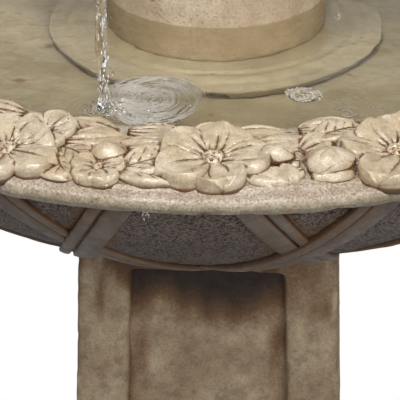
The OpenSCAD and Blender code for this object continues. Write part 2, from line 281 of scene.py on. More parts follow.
def outward(verts, faces):
    """The same closed faces, turned so that their normals point out."""
    around = verts - verts.mean(0)
    tri = np.array([f[:3] for f in faces] + [[f[0], f[2], f[3]] for f in faces if len(f) == 4])
    volume = np.einsum("ij,ij->", around[tri[:, 0]], np.cross(around[tri[:, 1]], around[tri[:, 2]]))
    return faces if volume > 0 else [face[::-1] for face in faces]


def merged(parts):
    """Several (verts, faces) as one."""
    verts, faces, start = [], [], 0
    for v, f in parts:
        verts.append(v)
        faces += [[i + start for i in face] for face in (f.tolist() if isinstance(f, np.ndarray) else f)]
        start += len(v)
    return np.concatenate(verts), faces


def spun(verts, way):
    """Vertices turned by way degrees about the upright axis."""
    cosine, sine = math.cos(math.radians(way)), math.sin(math.radians(way))
    x, y = verts[:, 0], verts[:, 1]
    return np.stack([x * cosine - y * sine, x * sine + y * cosine, verts[:, 2]], -1)


def make_piece(name, verts, faces, material, body, slot=None, replaces=(), fields=None, which=None):
    """New visible piece from millimetre vertices, riding a CAD body.

    fields holds values at each vertex, and which is the number of each face's material."""
    mesh = bpy.data.meshes.new(name)
    mesh.from_pydata((np.asarray(verts) * MM).tolist(), [], faces)
    mesh.polygons.foreach_set("use_smooth", [True] * len(mesh.polygons))
    for field, values in (fields or {}).items():
        mesh.attributes.new(field, "FLOAT", "POINT").data.foreach_set("value", np.asarray(values, np.float32))
    for one in material if isinstance(material, list) else [material]:
        mesh.materials.append(one)
    if which is not None:
        mesh.polygons.foreach_set("material_index", np.asarray(which, np.int32))
    piece = bpy.data.objects.new(name, mesh)
    bpy.context.scene.collection.objects.link(piece)
    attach(piece, body)
    if replaces:
        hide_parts(*replaces)


def make_joined(name, parts, material, body):
    """Many small closed shapes as one visible piece."""
    make_piece(name, *merged(parts), material, body)


def crowding(points, normals, tree, reach, rays=18):
    """How shut in each point is, from 0 in the open to 1 in a crevice, by rays that end within reach."""
    k = np.arange(rays) + 0.5
    polar, turn = np.arccos(1 - 2 * k / rays), math.pi * (1 + 5 ** 0.5) * k
    sphere = np.stack([np.sin(polar) * np.cos(turn), np.sin(polar) * np.sin(turn), np.cos(polar)], -1)
    out = np.zeros(len(points))
    starts = points + normals * 0.25
    for i, (start, normal) in enumerate(zip(starts, normals)):
        ways = np.where((sphere @ normal)[:, None] < 0, -sphere, sphere)
        shut = 0.0
        for way in ways:
            hit = tree.ray_cast(start, way, reach)
            if hit[3] is not None:
                shut += 1 - hit[3] / reach
        out[i] = shut / rays
    return (out * 1.6).clip(0, 1)


# ---- materials ----

class Nodes:
    """Adds and links nodes in one tree."""

    def __init__(self, tree):
        self.tree = tree

    def add(self, kind, **values):
        node = self.tree.nodes.new(kind)
        for key, value in values.items():
            setattr(node, key, value)
        return node

    def feed(self, source, target):
        """Links a socket, or sets a plain number or colour."""
        if isinstance(source, bpy.types.NodeSocket):
            self.tree.links.new(source, target)
        else:
            target.default_value = source

    def either(self, ray, usual, special):
        """One shader for most rays and another for the named kind of ray."""
        node = self.add("ShaderNodeMixShader")
        sources = (self.add("ShaderNodeLightPath").outputs[ray], usual, special)
        for source, target in zip(sources, node.inputs):
            self.feed(source, target)
        return node.outputs[0]


class Paint(Nodes):
    """Small helper that builds one procedural material."""

    def __init__(self, name):
        self.material = bpy.data.materials.new(name)
        self.material.use_nodes = True
        super().__init__(self.material.node_tree)
        self.shader = self.tree.nodes["Principled BSDF"]
        self.place = self.add("ShaderNodeTexCoord").outputs["Object"]

    def noise(self, size_mm, detail=3, rough=0.55):
        node = self.add("ShaderNodeTexNoise")
        node.inputs["Scale"].default_value = 1 / (size_mm * MM)
        node.inputs["Detail"].default_value = detail
        node.inputs["Roughness"].default_value = rough
        self.feed(self.place, node.inputs["Vector"])
        return node.outputs["Fac"]

    def specks(self, size_mm):
        """Distance to scattered points about size_mm apart."""
        node = self.add("ShaderNodeTexVoronoi")
        node.inputs["Scale"].default_value = 1 / (size_mm * MM)
        self.feed(self.place, node.inputs["Vector"])
        return node.outputs["Distance"]

    def ranged(self, source, low, high, to_low=0.0, to_high=1.0):
        node = self.add("ShaderNodeMapRange", interpolation_type="SMOOTHSTEP")
        for name, value in zip(("From Min", "From Max", "To Min", "To Max"), (low, high, to_low, to_high)):
            node.inputs[name].default_value = value
        self.feed(source, node.inputs["Value"])
        return node.outputs["Result"]

    def math(self, how, a, b=0.0):
        node = self.add("ShaderNodeMath", operation=how)
        self.feed(a, node.inputs[0])
        self.feed(b, node.inputs[1])
        return node.outputs[0]

    def times(self, a, b):
        return self.math("MULTIPLY", a, b)

    def plus(self, a, b):
        return self.math("ADD", a, b)

    def larger(self, a, b):
        return self.math("MAXIMUM", a, b)

    def sway(self, size_mm, detail, rough=0.55):
        """Noise about zero."""
        return self.math("SUBTRACT", self.noise(size_mm, detail, rough), 0.5)

    def vector(self, how, a, b=(0, 0, 0), out="Vector"):
        node = self.add("ShaderNodeVectorMath", operation=how)
        self.feed(a, node.inputs[0])
        self.feed(b, node.inputs[1])
        return node.outputs[out]

    def field(self, name):
        return self.add("ShaderNodeAttribute", attribute_name=name).outputs["Fac"]

    def mix(self, amount, a, b, how="MIX"):
        node = self.add("ShaderNodeMix", data_type="RGBA", blend_type=how)
        self.feed(amount, node.inputs["Factor"])
        for colour, socket in ((a, node.inputs[6]), (b, node.inputs[7])):
            self.feed(colour if isinstance(colour, bpy.types.NodeSocket) else (*colour, 1), socket)
        return node.outputs[2]

    def bump(self, height, distance_mm, strength=1.0, after=None):
        node = self.add("ShaderNodeBump")
        node.inputs["Strength"].default_value = strength
        node.inputs["Distance"].default_value = distance_mm * MM
        self.feed(height, node.inputs["Height"])
        if after is not None:
            self.feed(after, node.inputs["Normal"])
        return node.outputs["Normal"]

    def finish(self, colour, roughness, normal):
        for name, source in (("Base Color", colour), ("Roughness", roughness), ("Normal", normal)):
            self.feed(source, self.shader.inputs[name])
        return self.material


def carved_lines(p):
    """Thin lines that repeat along the "line" field, and one at the "rib" field's zero, with softer sides."""
    wobble = p.times(p.sway(7, 2), 0.22)
    turn = p.math("FRACT", p.plus(p.field("line"), wobble))
    off = p.times(p.math("ABSOLUTE", p.math("SUBTRACT", turn, 0.5)), p.field("line_gap"))
    broken = p.times(p.field("line_ink"), p.ranged(p.noise(5, 3), 0.36, 0.56, 0.35, 1.0))
    middle = p.ranged(p.field("rib"), 0.15, 0.75, 1.0, 0.0)
    cut = p.larger(p.times(p.ranged(off, 0.12, 0.62, 1.0, 0.0), broken), middle)
    beside = p.ranged(p.field("rib"), 0.2, 2.8, 0.4, 0.0)
    halo = p.larger(p.times(p.ranged(off, 0.2, 3.2, 0.55, 0.0), broken), beside)
    return cut, halo


def mean_of(one, other):
    return tuple(0.5 * (a + b) for a, b in zip(one, other))


def cast_stone(name, light, mid, dark, grain, grainy, rough, stain, pitted=0.0, streak=0.0, wet_below=None,
               carved=False, patch_mm=11):
    """Antiqued cast stone, in a light and a middle tone with a dark wash.

    The mesh's "wash" field runs up to 1 in hollows, where the dark wash stays. grain is the size of the sand
    in millimetres and grainy how strongly it shows, rough the lowest and highest roughness, and stain and
    pitted how much there is of each. Stone that is carved also has the thin cut lines of carved_lines."""
    p = Paint(name)
    cloud = p.ranged(p.noise(38, 4), 0.36, 0.66)
    patch = p.ranged(p.noise(patch_mm, 4, 0.65), 0.4, 0.68)
    grain_fac = p.ranged(p.noise(grain, 3, 0.7), 0.36, 0.66)
    colour = p.mix(cloud, mid, light)
    colour = p.mix(p.times(patch, stain), colour, mean_of(mid, dark))
    colour = p.mix(p.times(grain_fac, grainy), colour, dark)
    if streak:
        along = p.ranged(p.noise(5, 6, 0.75), 0.45, 0.7)
        colour = p.mix(p.times(along, streak), colour, light)
    # On the pedestal the wash field also holds a painted shadow of the bowl.
    wash = p.field("wash")
    if carved:
        cut, halo = carved_lines(p)
        wash = p.larger(wash, p.times(p.larger(cut, halo), 0.7))
    ragged = p.plus(wash, p.times(p.sway(2.2, 4, 0.7), 0.35))
    rust = tuple(0.35 * d + 0.65 * r for d, r in zip(dark, RUST))
    colour = p.mix(p.ranged(ragged, 0.12, 0.55), colour, p.mix(p.ranged(ragged, 0.3, 0.9), rust, dark))
    normal = p.bump(p.noise(grain, 3, 0.7), 0.35 + 0.5 * grainy, 0.55)
    if carved:
        normal = p.bump(p.plus(cut, p.times(halo, 1.5)), -0.8, 1.0, normal)
    if pitted:
        holes = p.ranged(p.specks(3.4), 0.1, 0.34)
        normal = p.bump(holes, 1.2, pitted, normal)
        colour = p.mix(p.ranged(p.specks(3.4), 0.08, 0.34, pitted * 0.85, 0.0), colour, dark)
    gloss = p.ranged(p.noise(7, 3), 0.3, 0.7, rough[0], rough[1])
    if wet_below is not None:
        height = p.add("ShaderNodeSeparateXYZ")
        p.feed(p.place, height.inputs[0])
        level = p.plus(height.outputs["Z"], p.times(p.noise(9, 3), 2 * MM))
        dry = p.ranged(level, (wet_below - 1) * MM, (wet_below + 2.5) * MM)
        colour = p.mix(p.ranged(dry, 0, 1, 1, 0), colour, (0.62, 0.58, 0.50), "MULTIPLY")
    return p.finish(colour, gloss, normal)


def plain_stuff(name, colour, worn, roughness, size_mm, metal=0.0, bump_mm=0.05):
    """Moulded or metal stuff with faint cloudiness, fine texture and uneven gloss."""
    p = Paint(name)
    cloud = p.ranged(p.noise(size_mm * 12, 4), 0.35, 0.7)
    fine = p.noise(size_mm, 3, 0.6)
    tone = p.mix(p.times(cloud, 0.6), colour, worn)
    tone = p.mix(p.ranged(fine, 0.5, 0.75, 0.0, 0.35), tone, worn)
    p.shader.inputs["Metallic"].default_value = metal
    gloss = p.ranged(fine, 0.3, 0.7, roughness - 0.08, roughness + 0.1)
    return p.finish(tone, gloss, p.bump(fine, bump_mm, 0.5))


UMBER = (0.085, 0.042, 0.02)
RUST = (0.25, 0.125, 0.05)
SANDY = ((0.49, 0.385, 0.255), (0.35, 0.255, 0.155))
petal_stone = cast_stone("petal_stone", (0.63, 0.54, 0.41), (0.50, 0.40, 0.265), UMBER, grain=1.1,
                         grainy=0.24, rough=(0.16, 0.38), stain=0.65, pitted=0.12, carved=True, patch_mm=7)
petal_stone.node_tree.nodes["Principled BSDF"].inputs["Specular IOR Level"].default_value = 0.8
rim_stone = cast_stone("rim_stone", (0.56, 0.49, 0.405), (0.43, 0.365, 0.28), (0.14, 0.085, 0.055), grain=1.3,
                       grainy=0.75, rough=(0.3, 0.6), stain=0.4, pitted=0.3)
# The lip's outer face: its own yellowish stone, darkened further as painted shade on the face that turns down
# below the lit crest.
lip_stone_and_painted_shade = cast_stone("lip_stone_and_painted_shade", (0.43, 0.375, 0.28), (0.34, 0.29, 0.205), (0.11, 0.07, 0.04), grain=1.3,
                       grainy=0.5, rough=(0.25, 0.6), stain=0.75, pitted=0.3, patch_mm=6)
under_stone = cast_stone("under_stone", (0.24, 0.18, 0.145), (0.19, 0.14, 0.11), (0.006, 0.004, 0.003),
                         grain=1.5, grainy=1.0, rough=(0.55, 0.8), stain=0.25, pitted=0.9)
ribbon_stone = cast_stone("ribbon_stone", (0.20, 0.155, 0.115), (0.13, 0.10, 0.075), (0.04, 0.022, 0.012),
                          grain=2.2, grainy=0.25, rough=(0.4, 0.6), stain=0.5, streak=0.3)
sandy_stone = cast_stone("sandy_stone", *SANDY, (0.13, 0.08, 0.045), grain=1.5, grainy=0.4, rough=(0.6, 0.85),
                         stain=0.85, pitted=0.3)
# Its near-black dark tone serves the painted shadow of the bowl on the tops of the pedestal's panels, as well as
# its stains.
pedestal_stone = cast_stone("pedestal_stone", *SANDY, (0.026, 0.015, 0.010), grain=1.5, grainy=0.25,
                            rough=(0.6, 0.85), stain=0.6, pitted=0.15)
column_stone = cast_stone("column_stone", (0.64, 0.54, 0.41), (0.53, 0.43, 0.305), (0.26, 0.17, 0.10),
                          grain=1.5, grainy=0.35, rough=(0.5, 0.8), stain=0.5, pitted=0.3,
                          wet_below=lower.water_z)
wet_stone = cast_stone("wet_stone", (0.32, 0.27, 0.18), (0.25, 0.205, 0.13), (0.11, 0.08, 0.04), grain=3.0,
                       grainy=0.12, rough=(0.4, 0.6), stain=0.35)


# ---- garland: petals and leaves on a strip with u along the rim, v inward and h up ----

BED = 2.2  # height of the mound the flowers grow from
FAR = 9.0  # a gap or distance, in millimetres, at which nothing of a carved line shows
# Rings under a petal's edge: how far in they are, how far down, and how deep they may go below the mound
SKIRT = ((0.006, 0.7, -BED - 1.2), (0.03, 60.0, -BED - 0.9), (0.05, 60.0, -0.3 * BED), (0.05, 60.0, 1.5))
SKIRT_WASH = (0.05, 0.12, 0.8, 0.9)


def blade(at, way, length, width, lift=10, arch=0, cup=0.0, ridges=0, ridge=0.0, vein=0.0, lip=0.0, base=0.35,
          belly=0.6, point=0.0, wave=0.0, tilt=0.0, thick=3.2, seed=0, rows=20, cols=19):
    """One closed petal or leaf that starts at (u, v, h) and grows along `way` degrees.

    After its length and width come: the slope at its base and how much that changes to its tip, in degrees;
    the rise of its sides; the number and depth of its gathers; the depth of its veins; its rolled edge; how
    wide its base is; where it is widest; how pointed it is; its waviness; its lean; and its thickness.

    Gives its vertices, its faces, and six values at each vertex: dark wash, then the carved lines' place,
    spacing and strength, the distance to the midrib, and how much more wash a crevice there takes."""
    s = 1 - (1 - np.linspace(0, 1, rows)) ** 1.7
    t = np.sin(np.linspace(-1, 1, cols) * math.pi / 2)
    rise = base + (1 - base) * np.sin(math.pi / 2 * (s / belly).clip(0, 1))
    past = ((s - belly) / (1 - belly)).clip(0, 1)
    half = width / 2 * rise * ((1 - point) * np.sqrt(1 - past ** 2 + 1e-4) + point * (1 - past ** 1.5))
    half *= 1 + 0.04 * np.sin(9 * s + seed)
    slope = np.radians(lift + arch * s)
    ds = np.diff(s, prepend=0) * length
    along = s[:, None]
    x = np.cumsum(np.cos(slope) * ds)[:, None] * (1 - 0.05 * np.cos(3.1 * t + seed) * along)
    z = np.cumsum(np.sin(slope) * ds)[:, None] + 0 * t
    y = half[:, None] * t
    edge = np.minimum((1 - abs(t)) * half[:, None], (1 - along) * length)
    wide = half[:, None] / (width / 2)
    z = z + cup * t ** 2 * wide + tilt * y
    line, line_gap, line_ink, rib = 0 * z, FAR + 0 * z, 0 * z, FAR + 0 * z
    if ridges:
        line = ridges / 2 * (t + 0.10 * np.sin(seed + 2.5 * along)) + 0 * z
        line_gap = half[:, None] * 2 / ridges + 0 * z
        reach = 0.55 + 0.25 * np.sin(seed * 2.1 + 7 * t)
        line_ink = (1 - step(reach - 0.25, reach + 0.15, along)) * (1 - step(0.8, 0.97, abs(t)))
        z -= ridge * (1 - abs(np.cos(math.pi * line)) ** 1.3) * line_ink
    if vein:
        z -= vein * np.exp(-(y / 1.6) ** 2) * (1 - along) ** 0.3
        line = (along * length - abs(y) * 0.9) / 6.5 + seed
        line_gap = 4.8 + 0 * z
        line_ink = 0.75 * (1 - step(0.55, 0.92, abs(t))) * (1 - step(0.75, 0.92, along)) + 0 * z
        z -= 0.35 * vein * (1 - abs(np.cos(math.pi * line))) * line_ink
        rib = abs(y) + 1.2 * step(0.7, 0.95, along)
    z += wave * np.sin(t * 4.4 + seed * 1.7) * along ** 2
    z += lip * np.exp(-((edge - 1.8) / 1.4) ** 2) * step(0.15, 0.5, along)
    shy = BED + 0.8 - at[2] - z
    z += np.where(shy > -1, (shy.clip(-1, None) + 1) ** 2 / (shy.clip(-1, None) + 3), 0)
    z += 0.6 * thick - thick * (1 - np.sqrt(1 - (1 - (edge / thick).clip(0, 1)) ** 2))
    ink = 0.6 * (1 - step(0.0, 0.16, along)) + 0 * z
    top = np.stack([x, y, z], -1).reshape(-1, 3)
    ring = np.concatenate([np.arange(cols), np.arange(1, rows) * cols + cols - 1,
                           (rows - 1) * cols + np.arange(cols - 2, -1, -1), np.arange(rows - 2, 0, -1) * cols])
    middle = top[ring].mean(0)
    rims = [top[ring]]
    for inset, drop, bury in SKIRT:
        low = top[ring] + (middle - top[ring]) * np.array([inset, inset, 0])
        low[:, 2] = np.minimum(np.maximum(low[:, 2] - drop, -at[2] - bury), rims[-1][:, 2] - 0.05)
        rims.append(low)
    n, count = len(top), len(ring)
    verts = np.concatenate([top] + rims[1:])
    faces = grid_quads(rows, cols)[:, ::-1].tolist()
    rings = [ring] + [n + count * k + np.arange(count) for k in range(4)]
    following = np.roll(np.arange(count), -1)
    for high, low in zip(rings[:-1], rings[1:]):
        faces += np.stack([high, high[following], low[following], low], -1).tolist()
    faces.append(rings[-1].tolist())
    open_air = step(0.1, 1.4, edge) + 0 * z
    told = [np.stack([grid.ravel() for grid in (ink, line, line_gap, line_ink, rib, open_air)], -1)]
    for level in SKIRT_WASH:
        told.append(np.tile([level, 0, FAR, 0, FAR, 0], (count, 1)))
    return spun(verts, way) + np.array(at, float), faces, np.concatenate(told)


def boss(at, radius, height, grain=0.0, rings=13, around=34):
    """Rounded seed head: grain is how rough it is, in millimetres."""
    a = np.linspace(math.pi / 2, 0, rings)
    profile = np.stack([radius * np.cos(a), height * np.sin(a)], -1)
    profile[0, 0] = radius * 0.04
    verts, faces = revolve(np.concatenate([profile, [[radius * 0.9, -at[2] - 1.5]]]), around)
    rough = smooth_noise(verts + 40 * at[0], 1.15, 5) * (verts[:, 2] > 0)
    verts = verts + grain * rough[:, None] * np.array([0.5, 0.5, 1.0])
    ink = np.where(verts[:, 2] < 0.1, 0.5, 0.75 * (grain > 0) * (-rough * 2.6 - 0.3).clip(0, 1))
    told = np.stack([ink] + [0 * ink + k for k in (0, FAR, 0, FAR, 0.5)], -1)
    return verts + np.array(at, float), faces, told


def egg(at, way, length, width, height, wraps=3, twist=0.5, seed=0, rows=26, around=30):
    """Closed bud lying along `way`, with carved lines where its wrapped petals overlap."""
    s = np.linspace(0.02, 0.98, rows)[:, None]
    turn = (np.arange(around) * TAU / around)[None]
    swell = np.sin(math.pi * s ** 0.85) ** 0.6
    x = (s - 0.5) * length + 0 * turn
    y, z = swell * width / 2 * np.cos(turn), swell * height / 2 * np.sin(turn)
    verts = np.stack([x, y, z], -1).reshape(-1, 3)
    faces = outward(verts, grid_quads(rows, around, True).tolist() + end_caps(len(verts), around))
    line = wraps * turn / TAU + twist * np.sin(2.6 * s) + 0.3 * seed
    gap = math.pi * 0.5 * (width + height) * swell / wraps + 0 * turn
    strength = step(0.12, 0.3, s) * (0.6 + 0.4 * np.sin(5 * s + seed)) + 0 * turn
    tip = 0.7 * step(0.86, 0.98, s) + 0 * line
    told = np.stack([tip, line, gap, strength, FAR + 0 * line, 1 + 0 * line], -1)
    return spun(verts, way) + np.array(at, float), faces, told.reshape(-1, 6)


def moved(parts, du, dv=0.0, size=1.0, flip=False):
    """Copies shifted along the strip, resized about its middle line or turned end for end."""
    out = []
    for v, f, ink in parts:
        v = v * size
        if flip:
            v = v * [-1, 1, 1]
            f = [face[::-1] for face in f]
        out.append((v + [du, dv, 0], f, ink))
    return out


def flower(turn=0.0, seed=0):
    """Five-petalled open flower about 64 mm across, each petal with its own shape."""
    right, back_right, back_left, front_left, front = [way + turn for way in (8, 74, 138, 211, 281)]
    base = 3.6

    def petal(way, up, *shape, shift=3.5):
        """A petal that starts a little way out from the flower's middle."""
        at = (shift * math.cos(math.radians(way)), shift * math.sin(math.radians(way)), base + up)
        return blade(at, way, *shape, rows=24, cols=29)

    return [
        petal(back_right, 0.0, 26, 37, 24, -12, -1.6, 6, 1.1, 0, 0.3, 0.26, 0.68, 0, 1.5, 0, 3.0, seed),
        petal(back_left, 0.0, 30, 34, 20, -16, -2.0, 5, 1.2, 0, 0.4, 0.26, 0.62, 0.15, 0.8, 0.03, 3.2, seed + 1),
        petal(right, 0.6, 30, 33, 22, -36, -1.4, 5, 0.8, 0, 0.9, 0.3, 0.6, 0, 0.9, -0.04, 4.0, seed + 2),
        petal(front_left, 0.4, 29, 32, 12, -18, 3.0, 3, 0.5, 0, 1.6, 0.3, 0.58, 0, 0.4, 0, 4.2, seed + 3),
        petal(front, -0.2, 25, 30, 2, 6, 2.2, 3, 0.4, 0, 2.4, 0.32, 0.55, 0, 0.3, 0, 4.6, seed + 4, shift=2.5),
        blade((0.5, -2.5, base + 1.4), front - 8, 12, 11, 8, -44, -1.6, 0, 0, 0, 0.2, 0.5, 0.5, 0, 0, 0, 2.0,
              seed),
        boss((0, 0.8, base + 1.8), 6.4, 3.4, 1.3),
    ]


def small_flower(seed=0):
    """Half-open flower about 36 mm across."""
    parts = [boss((0, 0, 4.6), 4.2, 2.8, 1.0, 7, 16)]
    for k in range(5):
        way = 20 + 72 * k + 9 * math.sin(seed + 2 * k)
        at = (2.4 * math.cos(math.radians(way)), 2.4 * math.sin(math.radians(way)), 3.8)
        parts.append(blade(at, way, 17, 20, 18, -22, 1.2, 3, 0.6, 0, 0.8, 0.4, 0.6, 0, 0.6, 0, 3.0, seed + k, 18,
                           19))
    return parts


def rosebud(seed=0):
    """Half-open rosebud lying along the rim, with outer petals wrapped round it and folded back."""
    return [
        egg((-1, -4, 6.0), 6, 29, 20, 17, 5, 0.9, seed),
        blade((-15, 1, 4.4), 14, 24, 17, 44, -86, -4.5, 2, 0.6, 0, 0.9, 0.5, 0.5, 0, 0.3, 0, 2.4, seed + 1),
        blade((-14, -8, 3.8), -6, 25, 14, 32, -66, -4.0, 2, 0.5, 0, 0.8, 0.5, 0.5, 0, 0.2, 0.05, 2.4, seed + 2),
        blade((4, 4.0, 5.8), 10, 20, 18, 30, -64, -3.4, 3, 0.7, 0, 1.0, 0.5, 0.5, 0, 0.4, 0, 2.4, seed + 3),
        blade((8, -5.0, 4.6), -8, 22, 19, 18, -44, -2.0, 3, 0.9, 0, 0.7, 0.5, 0.5, 0.2, 0.4, 0.08, 2.6, seed + 4),
        blade((-17, 3.0, 4.0), 165, 9, 9, 6, -26, -1.2, 0, 0, 0.5, 0, 0.5, 0.4, 0.6, 0, 0, 2.0, seed, 14, 13),
        blade((-17, -5, 3.4), 200, 10, 9, 6, -26, -1.2, 0, 0, 0.5, 0, 0.5, 0.4, 0.6, 0, 0, 2.0, seed, 14, 13),
    ]


def leaf(at, way, length, width, lift=8, arch=-20, cup=1.0, seed=0, vein=0.9, point=0.5, tilt=0.0):
    return blade(at, way, length, width, lift, arch, cup, 0, 0, vein, 0.3, 0.34, 0.45, point, 0.5, tilt, 2.8, seed)


def folded(at, way, length, width, lift=14, arch=-34, seed=0, folds=3):
    """Long leaf gathered in bands along its length."""
    return blade(at, way, length, width, lift, arch, -1.6, folds, 1.3, 0, 0.3, 0.4, 0.45, 0.45, 0.6, 0.03, 2.6,
                 seed, 22, 25)


def gap_with_rose(seed=0):
    """Filling between two flowers, about u = 0: a small flower, a hooded bud and leaves."""
    return moved(small_flower(seed + 1), -5, -14, 0.8) + [
        leaf((-38, -2, 2.6), -48, 32, 26, 16, -40, -2.2, seed, 0.8, 0.25),
        leaf((-30, 1, 3.4), -26, 30, 22, 18, -44, -2.6, seed + 1, 0.7, 0.25, 0.05),
        egg((-2, -1, 5.0), 10, 21, 15, 12, 4, 0.8, seed + 2),
        blade((-14, -2, 3.6), 14, 20, 15, 32, -66, -3.6, 3, 0.6, 0, 0.5, 0.5, 0.5, 0, 0.2, 0, 2.6, seed + 14),
        blade((-4, -1, 4.4), -24, 18, 15, 22, -56, -2.4, 2, 0.4, 0, 0.4, 0.5, 0.5, 0.2, 0, 0, 2.4, seed + 3),
        leaf((7, -13, 3.4), 28, 36, 24, 14, -26, 2.0, seed + 4, 1.2, 0.5, 0.08),
        leaf((4, -14, 2.6), -4, 40, 22, 8, -20, 1.4, seed + 5, 1.2, 0.5, -0.03),
        leaf((12, -6, 3.2), 6, 30, 18, 16, -30, -1.6, seed + 6, 0.9, 0.5),
        folded((40, 12, 3.0), 176, 42, 19, 16, -34, seed + 7, 4),
        folded((6, 7, 3.4), 10, 34, 16, 16, -34, seed + 8, 3),
        folded((-32, 8, 3.2), 16, 40, 22, 20, -42, seed + 9, 3),
        folded((-4, 24, 2.8), 172, 36, 19, 16, -34, seed + 10, 3),
        folded((2, 25, 2.6), 6, 36, 18, 14, -30, seed + 12, 4),
        leaf((34, 28, 2.4), 170, 26, 13, 12, -26, -1.0, seed + 13, 0.8, 0.5),
        leaf((-36, 12, 3.0), 40, 22, 16, 14, -30, 1.2, seed + 11, 0.9, 0.5),
    ]


def gap_with_bud(seed=0):
    """Filling between two flowers, about u = 0: a large rosebud, an egg-shaped bud and folded leaves."""
    return moved(rosebud(seed), 15, -9) + [
        egg((-14, -1, 5.4), -6, 21, 14, 13, 3, 0.8, seed + 1),
        blade((-26, 3, 3.8), 2, 22, 15, 34, -70, -3.6, 3, 0.7, 0, 0.6, 0.5, 0.5, 0, 0.3, 0, 2.4, seed + 14),
        blade((-33, -9, 2.6), -36, 24, 16, 16, -40, -2.0, 2, 0.9, 0, 0.3, 0.5, 0.5, 0.2, 0, 0.05, 3.0, seed + 2),
        blade((-22, -9, 3.0), -52, 19, 15, 18, -44, -2.0, 1, 0.9, 0, 0.3, 0.5, 0.5, 0.2, 0, -0.05, 3.0, seed + 3),
        blade((-12, -7, 2.8), -74, 16, 14, 18, -44, -2.0, 1, 0.9, 0, 0.3, 0.5, 0.5, 0.2, 0, 0, 3.0, seed + 4),
        folded((-32, 7, 3.4), 12, 40, 18, 24, -52, seed + 5, 3),
        folded((-34, 13, 3.2), 4, 44, 17, 20, -42, seed + 6, 4),
        folded((-40, 26, 2.6), -2, 40, 17, 14, -28, seed + 7, 3),
        folded((4, 26, 2.6), -4, 34, 17, 14, -30, seed + 13, 4),
        folded((0, 5, 3.4), 26, 30, 20, 20, -42, seed + 8, 3),
        leaf((8, 15, 3.2), 8, 40, 19, 18, -34, 1.8, seed + 9, 1.0, 0.5),
        folded((44, 25, 2.8), 172, 38, 18, 16, -30, seed + 10, 3),
        leaf((24, -6, 2.8), -20, 30, 20, 14, -30, 2.2, seed + 11, 1.2, 0.55, -0.06),
        leaf((20, 4, 3.8), 2, 30, 19, 20, -44, 1.6, seed + 12, 0.9, 0.45),
    ]


def lower_sector():
    """One quarter of the lower garland: four flowers, two small ones and the filling between them."""
    deg = lower.garland_r * math.pi / 180
    parts = moved(gap_with_rose(1), -8.6 * deg, -1) + moved(gap_with_bud(2), 13.6 * deg, 0)
    parts += moved(gap_with_rose(3), 36.2 * deg, -1, 1.0, True) + moved(gap_with_bud(4), 58.4 * deg, 0, 1.0, True)
    parts += moved(small_flower(3), -18.3 * deg, 12) + moved(small_flower(5), 46.0 * deg, 14)
    parts += moved(flower(0, 1), 3.1 * deg, -3) + moved(flower(-14, 2), -20.9 * deg, -14, 0.95)
    return parts + moved(flower(20, 3), 24.6 * deg, -10, 0.97) + moved(flower(-8, 4), 48.0 * deg, -8, 0.96, True)


def upper_sector():
    """One stretch of the upper garland between two spill notches, drawn at the lower bowl's size."""
    parts = moved(gap_with_bud(6), 50, 1, 0.92) + moved(gap_with_rose(7), -50, 1, 0.92)
    return parts + moved(flower(5, 8), 0, -3, 0.97)


def onto_rim(verts, b, turn):
    """Strip coordinates bent round a bowl's rim."""
    azimuth = turn + verts[:, 0] * b.carved / b.garland_r
    r = b.garland_r - verts[:, 1] * b.carved
    z = b.rim_z(r) + verts[:, 2] * b.carved
    return np.stack([r * np.sin(azimuth), -r * np.cos(azimuth), z], -1)


def add_garland(b, parts):
    """The garland, one piece to each sector. Gives the search tree that the rim's own wash uses."""
    flat, faces = merged([part[:2] for part in parts])
    told = np.concatenate([part[2] for part in parts])
    rings = [onto_rim(flat, b, b.first + TAU * k / b.sectors) for k in range(b.sectors)]
    rim_r = np.linspace(b.edge_r, b.lip_r - 3, 20)
    rim_verts, rim_faces = revolve(np.stack([rim_r, b.rim_z(rim_r) - 0.5], -1), 180)
    nearby = [(ring, faces) for ring in (rings[-1], rings[0], rings[1])]
    around, around_faces = merged(nearby + [(rim_verts, rim_faces[:-2])])
    tree = BVHTree.FromPolygons(around.tolist(), around_faces)
    start = rings[0].copy()
    start[:, 2] = np.maximum(start[:, 2], b.rim_z(np.hypot(start[:, 0], start[:, 1])) + 0.8 * b.carved)
    shut = crowding(start, normals_of(rings[0], faces), tree, 8 * b.carved)
    wash = np.maximum(told[:, 0], ((shut - 0.18) * 2.6).clip(0, 0.9) * told[:, 5])
    fields = dict(zip(("line", "line_gap", "line_ink", "rib"), told[:, 1:5].T), wash=wash)
    for k, ring in enumerate(rings):
        lumpy = 0.2 * layered_noise(ring, 8, 3) + 0.12 * layered_noise(ring, 2.5, 4, 2)
        ring = ring + normals_of(ring, faces) * lumpy[:, None] * b.carved
        make_piece(f"{b.name}_garland_{k + 1}", ring, faces, petal_stone, b.body, "cast_stone", (), fields)
    return tree


# ---- bowls ----

AROUND = 468  # columns round a bowl: whole quarters and ninths
RIBBONS = 12
LEAN = math.tan(math.radians(34.6))


